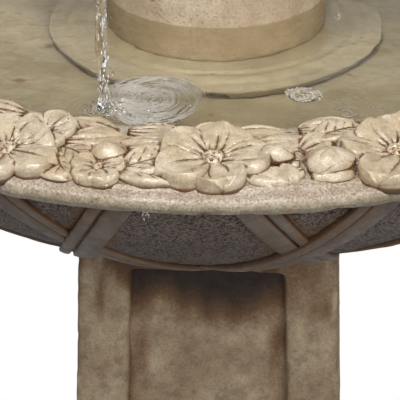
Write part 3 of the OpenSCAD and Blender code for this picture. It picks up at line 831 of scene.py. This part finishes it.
def bowl_profile(b):
    """Closed [r, z] run from the floor over the rim and down the underside, and where its zones end."""
    k = b.scale
    soft = 4.4 * k ** 0.5  # radius of the lip's worn upper edge
    crest_r = b.lip_r - soft
    inside = b.inner(np.linspace(math.pi / 2, 0, 30))
    flat_r, bend_r = np.linspace(b.edge_r, b.lip_r - 16 * k, 26), np.linspace(b.lip_r - 14.5 * k, crest_r - 1, 9)
    rim_r = np.concatenate([flat_r, bend_r])
    rim = np.stack([rim_r, b.rim_z(rim_r)], -1)
    bow = np.radians(np.linspace(78, -8, 9))
    crest, low = b.rim_z(crest_r), b.lip_z - 2.2 * k
    edge = np.stack([crest_r + soft * np.cos(bow), crest - soft + soft * np.sin(bow)], -1)
    face_r, face_z = np.linspace(b.lip_r - 0.1, b.lip_r - 2.2, 6), np.linspace(crest - soft - 1.2, low + 1.0, 6)
    lip = np.concatenate([edge, np.stack([face_r, face_z], -1), [[b.lip_r - 3.6, low + 0.1]]])
    ledge_z = low + np.array([0, 0.4, 1, 1.7, 2.2]) * k
    ledge = np.stack([np.linspace(b.lip_r - 6, b.lip_r - 17, 5), ledge_z], -1)
    under = b.under(np.linspace(0.0, math.pi / 2, int(118 * k ** 0.5)))
    foot_w, foot_h = b.boss
    down = np.array([[foot_w, b.foot_z - 0.01], [foot_w, b.foot_z - foot_h]])
    run = np.concatenate([inside, rim, lip, ledge, under, down])
    return run, np.cumsum([len(inside), len(rim) + 4, len(lip) - 3])


def ribbon_gap(r, z, azimuth, lean, cross_z):
    """Distance in millimetres from the middle of the nearest ribbon that leans this way."""
    turned = azimuth - lean * np.arcsin(((z - cross_z) * LEAN / r).clip(-1, 1))
    pitch = TAU / RIBBONS
    off = turned % pitch - pitch / 2
    return off * r * math.cos(math.atan(LEAN))


def add_bowl(b, tree):
    """The bowl's casting: smooth inside, sandy rim, pitted lip and stippled underside."""
    run, ends = bowl_profile(b)
    k = b.scale
    verts, faces = revolve(run, AROUND)
    row = np.repeat(np.arange(len(run)), AROUND)
    azimuth = np.tile(np.arange(AROUND) * TAU / AROUND, len(run))
    r, z = np.hypot(verts[:, 0], verts[:, 1]), verts[:, 2].copy()
    on_rim = (row >= ends[0]) & (row < ends[0] + 30)
    on_under = row >= ends[2]
    bed = BED * k * (1 - ((r - (b.lip_r - 37 * k)) / (33 * k)) ** 2).clip(0, 1) ** 0.7
    verts[:, 2] += np.where(on_rim, bed, 0)
    normal = normals_of(verts, faces)
    grit = layered_noise(verts, 3.2, 11, 2)
    stipple = layered_noise(verts, 5.5, 12, 3)
    holes = pits(verts, 7.0, 0.35, 13)
    lip_holes = pits(verts, 7.5, 0.10, 17)
    dents = layered_noise(verts, 17, 19, 3)
    soft = layered_noise(verts, 60, 14, 2)
    battered = 0.35 * grit + 1.5 * dents * step(b.lip_r - 22 * k, b.lip_r - 8 * k, r) - 1.8 * lip_holes
    move = 0.35 * soft
    move += np.where(on_under, 0.8 * stipple - 1.3 * holes, 0)
    move += np.where((row >= ends[0] + 3) & ~on_under, battered, 0)
    still = (row >= len(run) - 3) | (row == ends[0])
    verts += normal * np.where(still, 0, move)[:, None]
    under_wash = 0.30 * holes + 0.25 * step(0.1, 0.6, -stipple)
    rim_wash = 0.95 * lip_holes + 0.10 * step(0, 0.5, -grit) + 0.14 * step(0.1, 0.5, -dents)
    wash = np.where(on_under, under_wash, rim_wash)
    for lean in (-1, 1):
        beside = abs(ribbon_gap(r.clip(40), z, azimuth, lean, b.cross_z)) - b.ribbon_w / 2
        near = (1 - step(0, 9 * k, beside)) * (0.35 + 0.65 * step(-0.3, 0.4, soft))
        wash = np.where(on_under, np.maximum(wash, 0.5 * near), wash)
    shade_rim(b, verts, normal, wash, azimuth, np.flatnonzero(on_rim & (r < b.lip_r - 1)), tree)
    if b.notch_r:
        cut_notches(b, verts, on_rim | ((row >= ends[0]) & (row < ends[2] + 4)), azimuth, r)
    which = np.searchsorted(ends, row[[f[0] for f in faces]], side="right")
    which[-2:] = [0, 3]
    # The lip's stone, with its painted shade, starts partway round the crest and covers the lip's lower face.
    stones = [wet_stone, rim_stone, lip_stone_and_painted_shade, under_stone]
    replaced = (b.name + "_bowl",)
    make_piece(b.name + "_casting", verts, faces, stones, b.body, "cast_stone", replaced, {"wash": wash}, which)


def shade_rim(b, verts, normal, wash, azimuth, on_rim, tree):
    """Adds the wash on the rim beside the garland, worked out for one sector and copied round."""
    some = on_rim[azimuth[on_rim] < TAU / b.sectors]
    shut = ((crowding(verts[some], normal[some], tree, 5 * b.scale, 12) - 0.3) * 1.6).clip(0, 0.8)
    for i, start in enumerate(verts[some]):
        hit = tree.ray_cast(start + [0, 0, 40], (0, 0, -1), 39.6)
        shut[i] = 0.25 if hit[3] is not None else shut[i]
    per = AROUND // b.sectors
    for index, value in zip(some, shut):
        start = index // AROUND * AROUND
        spots = start + (index - start + np.arange(0, AROUND, per)) % AROUND
        wash[spots] = np.maximum(wash[spots], value)


def cut_notches(b, verts, where, azimuth, r):
    """Round-bottomed spill grooves pressed into the rim."""
    pitch = TAU / NOTCHES
    off = (azimuth - FIRST_NOTCH + pitch / 2) % pitch - pitch / 2
    side = off * r
    bottom = b.water_z - 4 + b.notch_r - np.sqrt((b.notch_r ** 2 - side ** 2).clip(0))
    inside = where & (abs(side) < b.notch_r)
    verts[inside, 2] = np.minimum(verts[inside, 2], bottom[inside])


# A ribbon's section, point by point: how far across it is, from -1 to 1, how high, and how dirty
RIBBON_ACROSS = np.array([-1, -1, -0.94, -0.82, -0.5, -0.1, 0.16, 0.22, 0.28, 0.34, 0.42, 0.62, 0.84, 0.95, 1, 1])
RIBBON_HIGH = np.array([0, 0.55, 0.84, 0.95, 1.0, 1.0, 0.93, 0.5, 0.34, 0.55, 0.9, 0.97, 0.9, 0.8, 0.5, 0])
RIBBON_DIRT = np.array([1, 0.7, 0.3, 0.1, 0, 0, 0.3, 1, 1, 0.8, 0.2, 0.05, 0.15, 0.45, 0.8, 1.0])
BURIED = -2.5  # millimetres below the bowl's face, at a ribbon's two lower edges


def ribbon(b, place, normal_rz, azimuth, over):
    """Vertices of one ribbon along [r, z] places, lifted by over where it passes above another."""
    out = np.stack([np.sin(azimuth), -np.cos(azimuth), 0 * azimuth], -1)
    up = np.array([0, 0, 1.0])
    path = out * place[:, :1] + up * place[:, 1:]
    normal = out * normal_rz[:, :1] + up * normal_rz[:, 1:]
    across = np.cross(normal, np.gradient(path, axis=0))
    across /= np.linalg.norm(across, axis=1, keepdims=True)
    if across[len(across) // 2, 2] < 0:
        across = -across
    shown = RIBBON_HIGH > 0
    height = np.where(shown, RIBBON_HIGH * (b.proud - 1) + over[:, None], BURIED)
    sideways = across[:, None] * (RIBBON_ACROSS * b.ribbon_w / 2)[:, None]
    return (path[:, None] + sideways + normal[:, None] * height[..., None]).reshape(-1, 3)


def add_lattice(b):
    """Two sets of ribbons that pass over and under each other, each a wide and a narrow band."""
    a = np.concatenate([np.zeros(3), np.linspace(0.02, math.radians(76), 74)])
    place = b.under(a)
    place[:3, 1] += np.array([15, 9, 3])
    ahead = b.under(a + 2e-3) - b.under(a)
    normal_rz = np.stack([-ahead[:, 1], ahead[:, 0]], -1)
    normal_rz /= np.linalg.norm(normal_rz, axis=1, keepdims=True)
    parts, washes = [], []
    for lean in (-1, 1):
        swing = np.arcsin(((place[:, 1] - b.cross_z) * LEAN / place[:, 0]).clip(-1, 1))
        over = lean * np.cos(math.pi * swing / math.radians(180 / RIBBONS)) * 0.26 * b.proud
        for n in range(RIBBONS):
            verts = ribbon(b, place, normal_rz, TAU * (n + 0.5) / RIBBONS + lean * swing, over)
            verts[:, 2] = np.minimum(verts[:, 2], b.lip_z + 3)
            verts = verts + 0.35 * np.stack([layered_noise(verts, 9, 21 + k, 2) for k in range(3)], -1)
            faces = grid_quads(len(a), len(RIBBON_DIRT), True).tolist() + end_caps(len(verts), len(RIBBON_DIRT))
            parts.append((verts, outward(verts, faces)))
            stain = step(-0.2, 0.7, layered_noise(verts, 26, 31, 2)).reshape(len(a), -1)
            stain = stain * np.where(RIBBON_ACROSS > 0.6, 0.5, 0.12)
            washes.append(np.maximum(RIBBON_DIRT * 0.8, stain).ravel())
    verts, faces = merged(parts)
    wash = np.concatenate(washes)
    make_piece(b.name + "_lattice", verts, faces, ribbon_stone, b.body, "cast_stone", (), {"wash": wash})


# ---- castings: CAD shapes with worn edges, grain and pits ----

def smoothed(values, edges, rounds):
    """Values averaged over mesh neighbours, several times."""
    count = np.bincount(edges.ravel(), minlength=len(values)).astype(float)
    count = count.reshape([-1] + [1] * (values.ndim - 1))
    for _ in range(rounds):
        total = np.zeros_like(values)
        np.add.at(total, edges[:, 0], values[edges[:, 1]])
        np.add.at(total, edges[:, 1], values[edges[:, 0]])
        values = 0.5 * values + 0.5 * total / np.maximum(count, 1)
    return values


def foot_moulding(verts):
    """Two shallow steps turned into the top of the column's foot."""
    r = np.hypot(verts[:, 0], verts[:, 1])
    drop = 2.2 * step(86, 89, r) + 1.6 * step(99, 101, r) - 1.2 * np.exp(-((r - 94) / 2.5) ** 2)
    verts[:, 2] -= drop * step(verts[:, 2].max() - 6, verts[:, 2].max() - 1, verts[:, 2])
    return verts


WELD_MM = 0.02  # corners closer than this are one corner


def voxel_mesh(node, voxel):
    """Vertices, edges and faces of a CAD node's shape, remade as small even squares of voxel millimetres."""
    mesh = frame["nodes"][node].data.copy()
    draft = bpy.data.objects.new(node + "_draft", mesh)
    bpy.context.scene.collection.objects.link(draft)
    weld = draft.modifiers.new("weld", "WELD")
    weld.merge_threshold = WELD_MM * MM
    remesh = draft.modifiers.new("remesh", "REMESH")
    remesh.mode, remesh.voxel_size = "VOXEL", voxel * MM
    solid = draft.evaluated_get(bpy.context.evaluated_depsgraph_get()).to_mesh()
    verts = np.empty(len(solid.vertices) * 3)
    solid.vertices.foreach_get("co", verts)
    edges = np.empty(len(solid.edges) * 2, int)
    solid.edges.foreach_get("vertices", edges)
    faces = [list(polygon.vertices) for polygon in solid.polygons]
    draft.to_mesh_clear()
    bpy.data.objects.remove(draft)
    bpy.data.meshes.remove(mesh)
    return verts.reshape(-1, 3) / MM, edges.reshape(-1, 2), faces


def casting(node, body, material, voxel, rough, pit, seed, rounds=3, stain=None, slot="cast_stone", shape=None):
    """Stands for one CAD node: the same shape with softened corners, uneven faces, grain and pits."""
    verts, edges, faces = voxel_mesh(node, voxel)
    low, high = verts.min(0), verts.max(0)
    verts = smoothed(verts, edges, rounds)
    verts = low + (verts - verts.min(0)) * (high - low) / (verts.max(0) - verts.min(0))
    if shape is not None:
        verts = shape(verts)
    normal = normals_of(verts, faces)
    blurred = smoothed(verts, edges, 6)
    hollow = smoothed(np.einsum("ij,ij->i", blurred - verts, normal), edges, 2) / voxel
    waves = layered_noise(verts, 55, seed, 2)
    grit = layered_noise(verts, voxel * 2.6, seed + 2, 2)
    holes = pits(verts, voxel * 3.2, 0.10, seed + 4)
    chips = step(0.10, 0.35, -hollow) * step(0.15, 0.6, layered_noise(verts, 14, seed + 6, 2))
    deep = 0.4 * waves + rough * grit - pit * holes - 0.9 * chips
    bounds_keep = (verts[:, 2] < low[2] + 0.4) | (verts[:, 2] > high[2] - 0.4)
    verts = verts + normal * np.where(bounds_keep, np.minimum(deep, 0) * 0.3, deep)[:, None]
    patchy = step(-0.2, 0.7, layered_noise(verts, 30, seed + 8, 3))
    wash = 0.8 * step(0.06, 0.45, hollow) * (0.5 + 0.5 * patchy) + 0.55 * holes + 0.12 * step(0.1, 0.6, -grit)
    # stain adds marks to the wash; for the pedestal these include a painted shadow of the bowl
    if stain is not None:
        wash = np.maximum(wash, stain(verts, patchy))
    make_piece(node + "_casting", verts, faces, material, body, slot, (node,), {"wash": wash.clip(0, 1)})


def pedestal_stain_and_shadow(verts, patchy):
    """Rust and wet streaks that run down from the bowl over the pedestal's top, and a painted shadow of the bowl
    that darkens that top and the tops of its panels.
    """
    top = verts[:, 2].max()
    fall = top - verts[:, 2]
    runs = layered_noise(verts * [1, 1, 0.18], 16, 71, 3)
    from_axis = abs(verts[:, :2]).max(1)
    half = np.interp(fall, [0, fall.max()], [abs(verts[fall < 4][:, 0]).max(), abs(verts[:, 0]).max()])
    sunk = step(3, 8, half - from_axis)
    # Painted shadow with wetness: darker near the pedestal's top, where the bowl overhead shades it.
    damp_and_shadow = 0.72 * step(104, 26, fall) * step(-0.6, 0.2, runs)
    # Painted shadow with dark staining: the tops of the sunk panels, under the bowl, are painted nearly black.
    panel_shadow_and_stain = step(94, 18, fall + 15 * runs) * sunk
    blotch = 0.22 * sunk * step(-0.1, 0.5, layered_noise(verts, 24, 77, 3))
    side = abs(verts[:, :2]).min(1) / half
    corner = 0.6 * sunk * step(0.36, 0.56, side) * step(30, 90, fall) * (0.5 + 0.5 * step(-0.3, 0.3, runs))
    return np.maximum.reduce([damp_and_shadow * (0.6 + 0.4 * patchy), panel_shadow_and_stain, corner, blotch * (0.5 + 0.5 * patchy)])


# ---- water ----

def ring_waves(p, centre, wave_mm, reach_mm, stretch, jitter_mm):
    """Height of round waves about a centre on the water, fading out at reach."""
    from_centre = p.vector("SUBTRACT", p.place, [c * MM for c in centre])
    far = p.vector("LENGTH", p.vector("MULTIPLY", from_centre, (*stretch, 0)), out="Value")
    bent = p.times(p.sway(9, 2), jitter_mm * MM)
    far = p.plus(far, bent)
    wave = p.math("SINE", p.times(far, TAU / (wave_mm * MM)))
    fade = p.ranged(far, reach_mm * 0.55 * MM, reach_mm * MM, 1.0, 0.0)
    return p.times(p.times(wave, fade), 0.5)


def polar(r, azimuth_deg, z):
    a = math.radians(azimuth_deg)
    return (r * math.sin(a), -r * math.cos(a), z)


def water_stuff(name, tint, ripple_mm, ripple_depth, rings=()):
    """Clear water that lets the lamps through, with small ripples and rings."""
    p = Paint(name)
    settings = {"Base Color": (*tint, 1), "Roughness": 0.015, "IOR": 1.333, "Transmission Weight": 1.0}
    for key, value in settings.items():
        p.shader.inputs[key].default_value = value
    normal = p.bump(p.noise(ripple_mm, 2, 0.45), ripple_depth, 0.5)
    for *ring, height in rings:
        normal = p.bump(ring_waves(p, *ring), height, 1.0, normal)
    p.feed(normal, p.shader.inputs["Normal"])
    clear = p.add("ShaderNodeBsdfTransparent")
    clear.inputs["Color"].default_value = (*[t ** 0.5 for t in tint], 1)
    water = p.either("Is Shadow Ray", p.shader.outputs[0], clear.outputs[0])
    p.feed(water, p.tree.nodes["Material Output"].inputs["Surface"])
    return p.material


LANDING = 205  # radius where the streams meet the lower water
DRIFT = math.radians(1.2)  # how far round the water leaves from the middle of its groove
STREAM_AZ = -14.8  # the stream at the front left
LANDED = polar(LANDING, STREAM_AZ, 0)
SWIRL = polar(184, -7.5, 0)  # where the froth of that stream drifts round
BUBBLE = polar(181, 20.2, 0)  # one large bubble
# Where single drops fall: the place, its rings of froth, then how long and far its waves run, how uneven
# they are and how high
DRIPS = [
    (polar(212, 24.5, 0), 5, 3.0, 13, 0.6, 0.8),
    (polar(197, 25.5, 0), 3, 2.6, 8, 0.5, 0.6),
    (polar(214, 30, 0), 3, 3.0, 10, 0.5, 0.6),
    (polar(226, -28, 0), 4, 3.0, 12, 0.5, 0.6),
]
POOL_RINGS = [
    (SWIRL, 1.7, 33, (1.0, 0.72), 3.0, 0.55),
    (polar(176, -10, 0), 1.5, 20, (1.0, 0.8), 2.0, 0.5),
    (LANDED, 3.2, 26, (1, 1), 2.0, 0.5),
] + [(place, wave, reach, (1, 1), uneven, height) for place, _rings, wave, reach, uneven, height in DRIPS]


def add_pool(b, material, seed):
    """Water standing in a bowl: a rippled top, and a bottom just inside the stone."""
    top_r = np.linspace(0.5, b.edge_r + 1.5, 70)
    top = np.stack([top_r, np.full(70, float(b.water_z))], -1)
    below = b.inner(np.linspace(0.05, math.pi / 2, 26), 1.0) + [0, -0.6]
    run = np.concatenate([top, below, [[0.5, b.floor_z - 1.0]]])[::-1]
    verts, faces = revolve(run, 240)
    wavy = 0.45 * layered_noise(verts, 42 * b.scale, seed, 2) + 0.12 * smooth_noise(verts, 9, seed + 3)
    surface = verts[:, 2] > b.water_z - 0.01
    verts[:, 2] += np.where(surface, wavy, 0)
    make_piece(b.name + "_water", verts, faces, material, b.body)


def stream_mesh(azimuth, top_z, low_z, start_r, seed):
    """Thin twisting rope of falling water that spreads near the bottom."""
    rows, around = 260, 16
    drop = np.linspace(0, 1, rows)[:, None]
    turn = (np.arange(around) * TAU / around)[None]
    z = top_z + (low_z - top_z) * drop + 0 * turn
    reach = start_r + (LANDING - start_r) * (1 - (1 - drop) ** 2)
    twist = 9 * drop + 2.2 * drop ** 2 + seed
    wide = (2.3 + 1.4 * step(0.76, 0.92, drop) + 0.5 * np.sin(26 * drop + seed)) * np.cos(turn)
    thin = (1.5 + 0.4 * np.cos(31 * drop + seed)) * np.sin(turn)
    flow = np.stack([9 * np.cos(turn) + 0 * drop, 9 * np.sin(turn) + 0 * drop, 0.45 * z], -1)
    lumps = layered_noise(flow.reshape(-1, 3), 3.6, 60 + int(seed), 2).reshape(rows, around)
    lobes = 1 + 0.16 * np.sin(3 * turn + 60 * drop + seed) + (0.5 - 0.25 * drop) * lumps
    sideways = (wide * np.cos(twist) - thin * np.sin(twist)) * lobes
    outwards = (wide * np.sin(twist) + thin * np.cos(twist)) * lobes
    a = azimuth + sideways / LANDING + 0.008 * np.sin(5 * drop + seed)
    r = reach + outwards
    verts = np.stack([r * np.sin(a), -r * np.cos(a), z], -1).reshape(-1, 3)
    caps = [face[::-1] for face in end_caps(len(verts), around)]
    return verts, grid_quads(rows, around, True).tolist() + caps


def ball(centre, radius, squash=1.0, rings=9, around=14):
    a = np.linspace(math.pi / 2 - 0.08, -math.pi / 2 + 0.08, rings)
    verts, faces = revolve(np.stack([radius * np.cos(a), radius * squash * np.sin(a)], -1), around)
    return verts + np.array(centre, float), faces


DRIPPING = (1, 4, 6)  # the spill grooves that don't run, counted from the stream at the front left
DROP_HEIGHTS = (700, 812, 905)


def add_streams(material, foam):
    """A stream from each spill groove but three, which only drip, with stray drops round them."""
    parts, white = [], []
    dice = random.Random(4)
    for k in range(NOTCHES):
        azimuth = FIRST_NOTCH + TAU * k / NOTCHES
        if k in DRIPPING:
            parts += [ball(polar(198, math.degrees(azimuth), z), 1.8, 1.3) for z in DROP_HEIGHTS]
            continue
        azimuth += DRIFT
        parts.append(stream_mesh(azimuth, upper.water_z - 5, lower.water_z - 2, upper.lip_r - 2, 1.3 * k))
        for _ in range(46):
            z = lower.water_z + 3 + (upper.lip_z - lower.water_z - 8) * dice.random() ** 2
            r, side = LANDING + dice.uniform(-5, 5), dice.choice((-1.2, 1.1)) + dice.gauss(0, 0.3)
            parts.append(ball(polar(r, math.degrees(azimuth) + side, z), dice.uniform(0.35, 1.0), 1.5, 6, 8))
        for _ in range(110):
            z = lower.water_z + 1 + 130 * dice.random() ** 1.3
            r, side = LANDING + dice.uniform(-2, 3), dice.gauss(0, 0.5)
            white.append(ball(polar(r, math.degrees(azimuth) + side, z), dice.uniform(0.2, 0.46), 3.2, 5, 7))
    make_joined("falling_water", parts, material, "upper_tier")
    make_joined("spray", white, foam, "upper_tier")


def add_bubbles(material):
    """Bubbles and froth where the stream lands, a large bubble, and a drop that hangs from the lip."""
    dice = random.Random(8)
    z = lower.water_z
    parts = [ball((*BUBBLE[:2], z - 0.5), 10, 0.2, 12, 28)]
    for _ in range(170):
        spread = dice.gauss(0, 1), dice.gauss(0, 1)
        x, y, _z = SWIRL
        size = dice.uniform(0.35, 1.3)
        parts.append(ball((x - 8 + 13 * spread[0], y - 6 + 16 * spread[1], z + 0.1), size, 0.8, 6, 9))
    for _ in range(90):
        x, y, _z = LANDED
        size = dice.uniform(0.4, 1.5)
        middle = (x + dice.gauss(0, 6), y + dice.gauss(0, 6), z + abs(dice.gauss(0, 1.6)))
        parts.append(ball(middle, size, 1.0, 6, 9))
    for _ in range(60):
        x, y, _z = polar(dice.uniform(110, 222), dice.uniform(0, 360), 0)
        parts.append(ball((x, y, z + 0.1), dice.uniform(0.3, 0.9), 0.7, 6, 9))
    lip = polar(lower.lip_r - 6, -3.8, lower.lip_z)
    parts.append(ball((lip[0], lip[1], lip[2] - 6.0), 2.3, 1.35, 12, 16))
    parts.append(ball((lip[0], lip[1], lip[2] - 2.9), 1.7, 0.8, 9, 14))
    make_joined("bubbles", parts, material, "base_unit")


def arc_strip(centre, radius, start, sweep, width, z, tilt):
    """Thin raised line of froth along part of a ring."""
    count = max(5, int(abs(sweep) * radius / 1.6))
    a = start + np.linspace(0, sweep, count)
    wide = width * np.sin(np.linspace(0.12, math.pi - 0.12, count)) ** 0.6
    cosine, sine = np.cos(a), np.sin(a) * tilt
    rows = []
    for side, up in ((-0.5, 0.0), (0.0, 0.35), (0.5, 0.0)):
        r = radius + side * wide
        rows.append(np.stack([centre[0] + r * cosine, centre[1] + r * sine, np.full(count, z + up)], -1))
    keel = [centre[0] + radius * cosine, centre[1] + radius * sine, np.full(count, z - 0.4)]
    rows.append(np.stack(keel, -1))
    verts = np.stack(rows, 1).reshape(-1, 3)
    faces = grid_quads(count, 4, True).tolist()
    return verts, faces + [[3, 2, 1, 0], [len(verts) - 4 + k for k in range(4)]]


def add_froth(material):
    """Fine swirling lines of froth beside the landing stream, and round the drips and the large bubble."""
    dice = random.Random(12)
    z = lower.water_z
    parts = []
    x, y, _z = SWIRL
    swirls = ((x - 1, y - 1, 29, 1.3, 420), (x - 16, y + 4, 16, 1.2, 150), (x - 10, y - 22, 14, 0.9, 130))
    for cx, cy, reach, tilt, count in swirls:
        for _ in range(count):
            radius = reach * dice.uniform(0.02, 1) ** 0.6
            middle = (cx + dice.uniform(-1.6, 1.6), cy + dice.uniform(-1.2, 1.2))
            start, sweep = dice.uniform(0, TAU), dice.uniform(3, 20) / max(radius, 6)
            radius *= 0.94 + 0.08 * math.sin(3 * start + 1)
            parts.append(arc_strip(middle, radius, start, sweep, dice.uniform(0.18, 0.42), z + 0.25, tilt))
    ringed = [(place, rings) for place, rings, *_waves in DRIPS] + [(BUBBLE, 6), (LANDED, 7)]
    for centre, rings in ringed:
        for radius in [n * 1.9 for n in range(1, rings) for _ in range(3)]:
            start, sweep, width = dice.uniform(0, TAU), dice.uniform(0.5, 1.6), dice.uniform(0.3, 0.6)
            parts.append(arc_strip(centre, radius, start, sweep, width, z + 0.2, 1.0))
    for _ in range(110):
        far, turn = 10 * dice.random() ** 0.5, dice.uniform(0, TAU)
        middle = (BUBBLE[0] + 1.15 * far * math.cos(turn), BUBBLE[1] + far * math.sin(turn), z + 0.3)
        parts.append(ball(middle, dice.uniform(0.4, 1.1), 0.8, 6, 9))
    make_joined("froth", parts, material, "base_unit")


# ---- the fountain ----

# Fittings by material slot: the stuff's name, colour, worn colour, roughness, grain in millimetres, metal
FITTINGS = {
    "black_rubber": ("rubber", (0.022, 0.022, 0.023), (0.05, 0.048, 0.045), 0.6, 1.2),
    "pump_plastic": ("pump_black", (0.012, 0.013, 0.015), (0.03, 0.03, 0.032), 0.42, 0.9),
    "dial_plastic": ("dial_blue", (0.045, 0.13, 0.30), (0.10, 0.19, 0.33), 0.3, 0.9),
    "impeller_plastic": ("impeller_white", (0.62, 0.62, 0.60), (0.5, 0.49, 0.45), 0.4, 0.8),
    "stainless_steel": ("steel", (0.55, 0.55, 0.54), (0.42, 0.41, 0.40), 0.28, 0.5, 1.0),
    "ferrite": ("ferrite", (0.035, 0.035, 0.038), (0.07, 0.065, 0.06), 0.5, 0.6, 0.3),
    "aged_brass": ("brass", (0.30, 0.19, 0.075), (0.13, 0.10, 0.05), 0.42, 0.9, 1.0),
    "clear_hose": ("hose_clear", (0.75, 0.78, 0.78), (0.62, 0.66, 0.62), 0.2, 1.2),
}
by_slot = {slot: plain_stuff(*stuff) for slot, stuff in FITTINGS.items()}
by_slot["cast_stone"] = by_slot["cast_stone_trim"] = sandy_stone
for part in frame["record"]["subparts"]:
    shown = frame["nodes"][part["node"]]
    shown.data.materials.clear()
    shown.data.materials.append(by_slot[part["material_slot"]])

pool_water = water_stuff("pool_water", (0.93, 0.93, 0.86), 16, 0.8, POOL_RINGS)
upper_water = water_stuff("upper_water", (0.93, 0.94, 0.90), 9, 0.7, [((0, 0, 0), 5.0, 90, (1, 1), 3.0, 0.5)])
fall_water = water_stuff("fall_water", (0.97, 0.98, 0.98), 2.5, 1.0)
spray_white = plain_stuff("spray_white", (0.74, 0.76, 0.80), (0.60, 0.62, 0.66), 0.2, 1.5)
froth_white = plain_stuff("froth_white", (0.52, 0.49, 0.44), (0.38, 0.35, 0.30), 0.25, 1.5)
froth_white.node_tree.nodes["Principled BSDF"].inputs["Alpha"].default_value = 0.7
add_bowl(lower, add_garland(lower, lower_sector()))
add_lattice(lower)
casting("pedestal", "base_unit", pedestal_stone, 2.8, 0.28, 0.9, 100, rounds=1, stain=pedestal_stain_and_shadow)
casting("base_plinth", "base_unit", sandy_stone, 3.0, 0.3, 1.0, 120)
casting("column_foot", "base_unit", wet_stone, 2.0, 0.2, 0.4, 140, shape=foot_moulding)
casting("column", "column_unit", column_stone, 2.4, 0.25, 0.8, 160)
casting("finial_stem", "finial_unit", sandy_stone, 2.0, 0.22, 0.5, 180, rounds=2)
casting("finial_sepals", "finial_unit", petal_stone, 1.5, 0.15, 0.4, 200, rounds=2, slot="cast_stone_trim")
casting("finial_bud", "finial_unit", sandy_stone, 2.0, 0.2, 0.5, 220, rounds=2)
add_bowl(upper, add_garland(upper, upper_sector()))
add_lattice(upper)
add_pool(lower, pool_water, 5)
add_pool(upper, upper_water, 9)
add_streams(fall_water, spray_white)
add_bubbles(fall_water)
add_froth(froth_white)
add_camera()
add_studio()
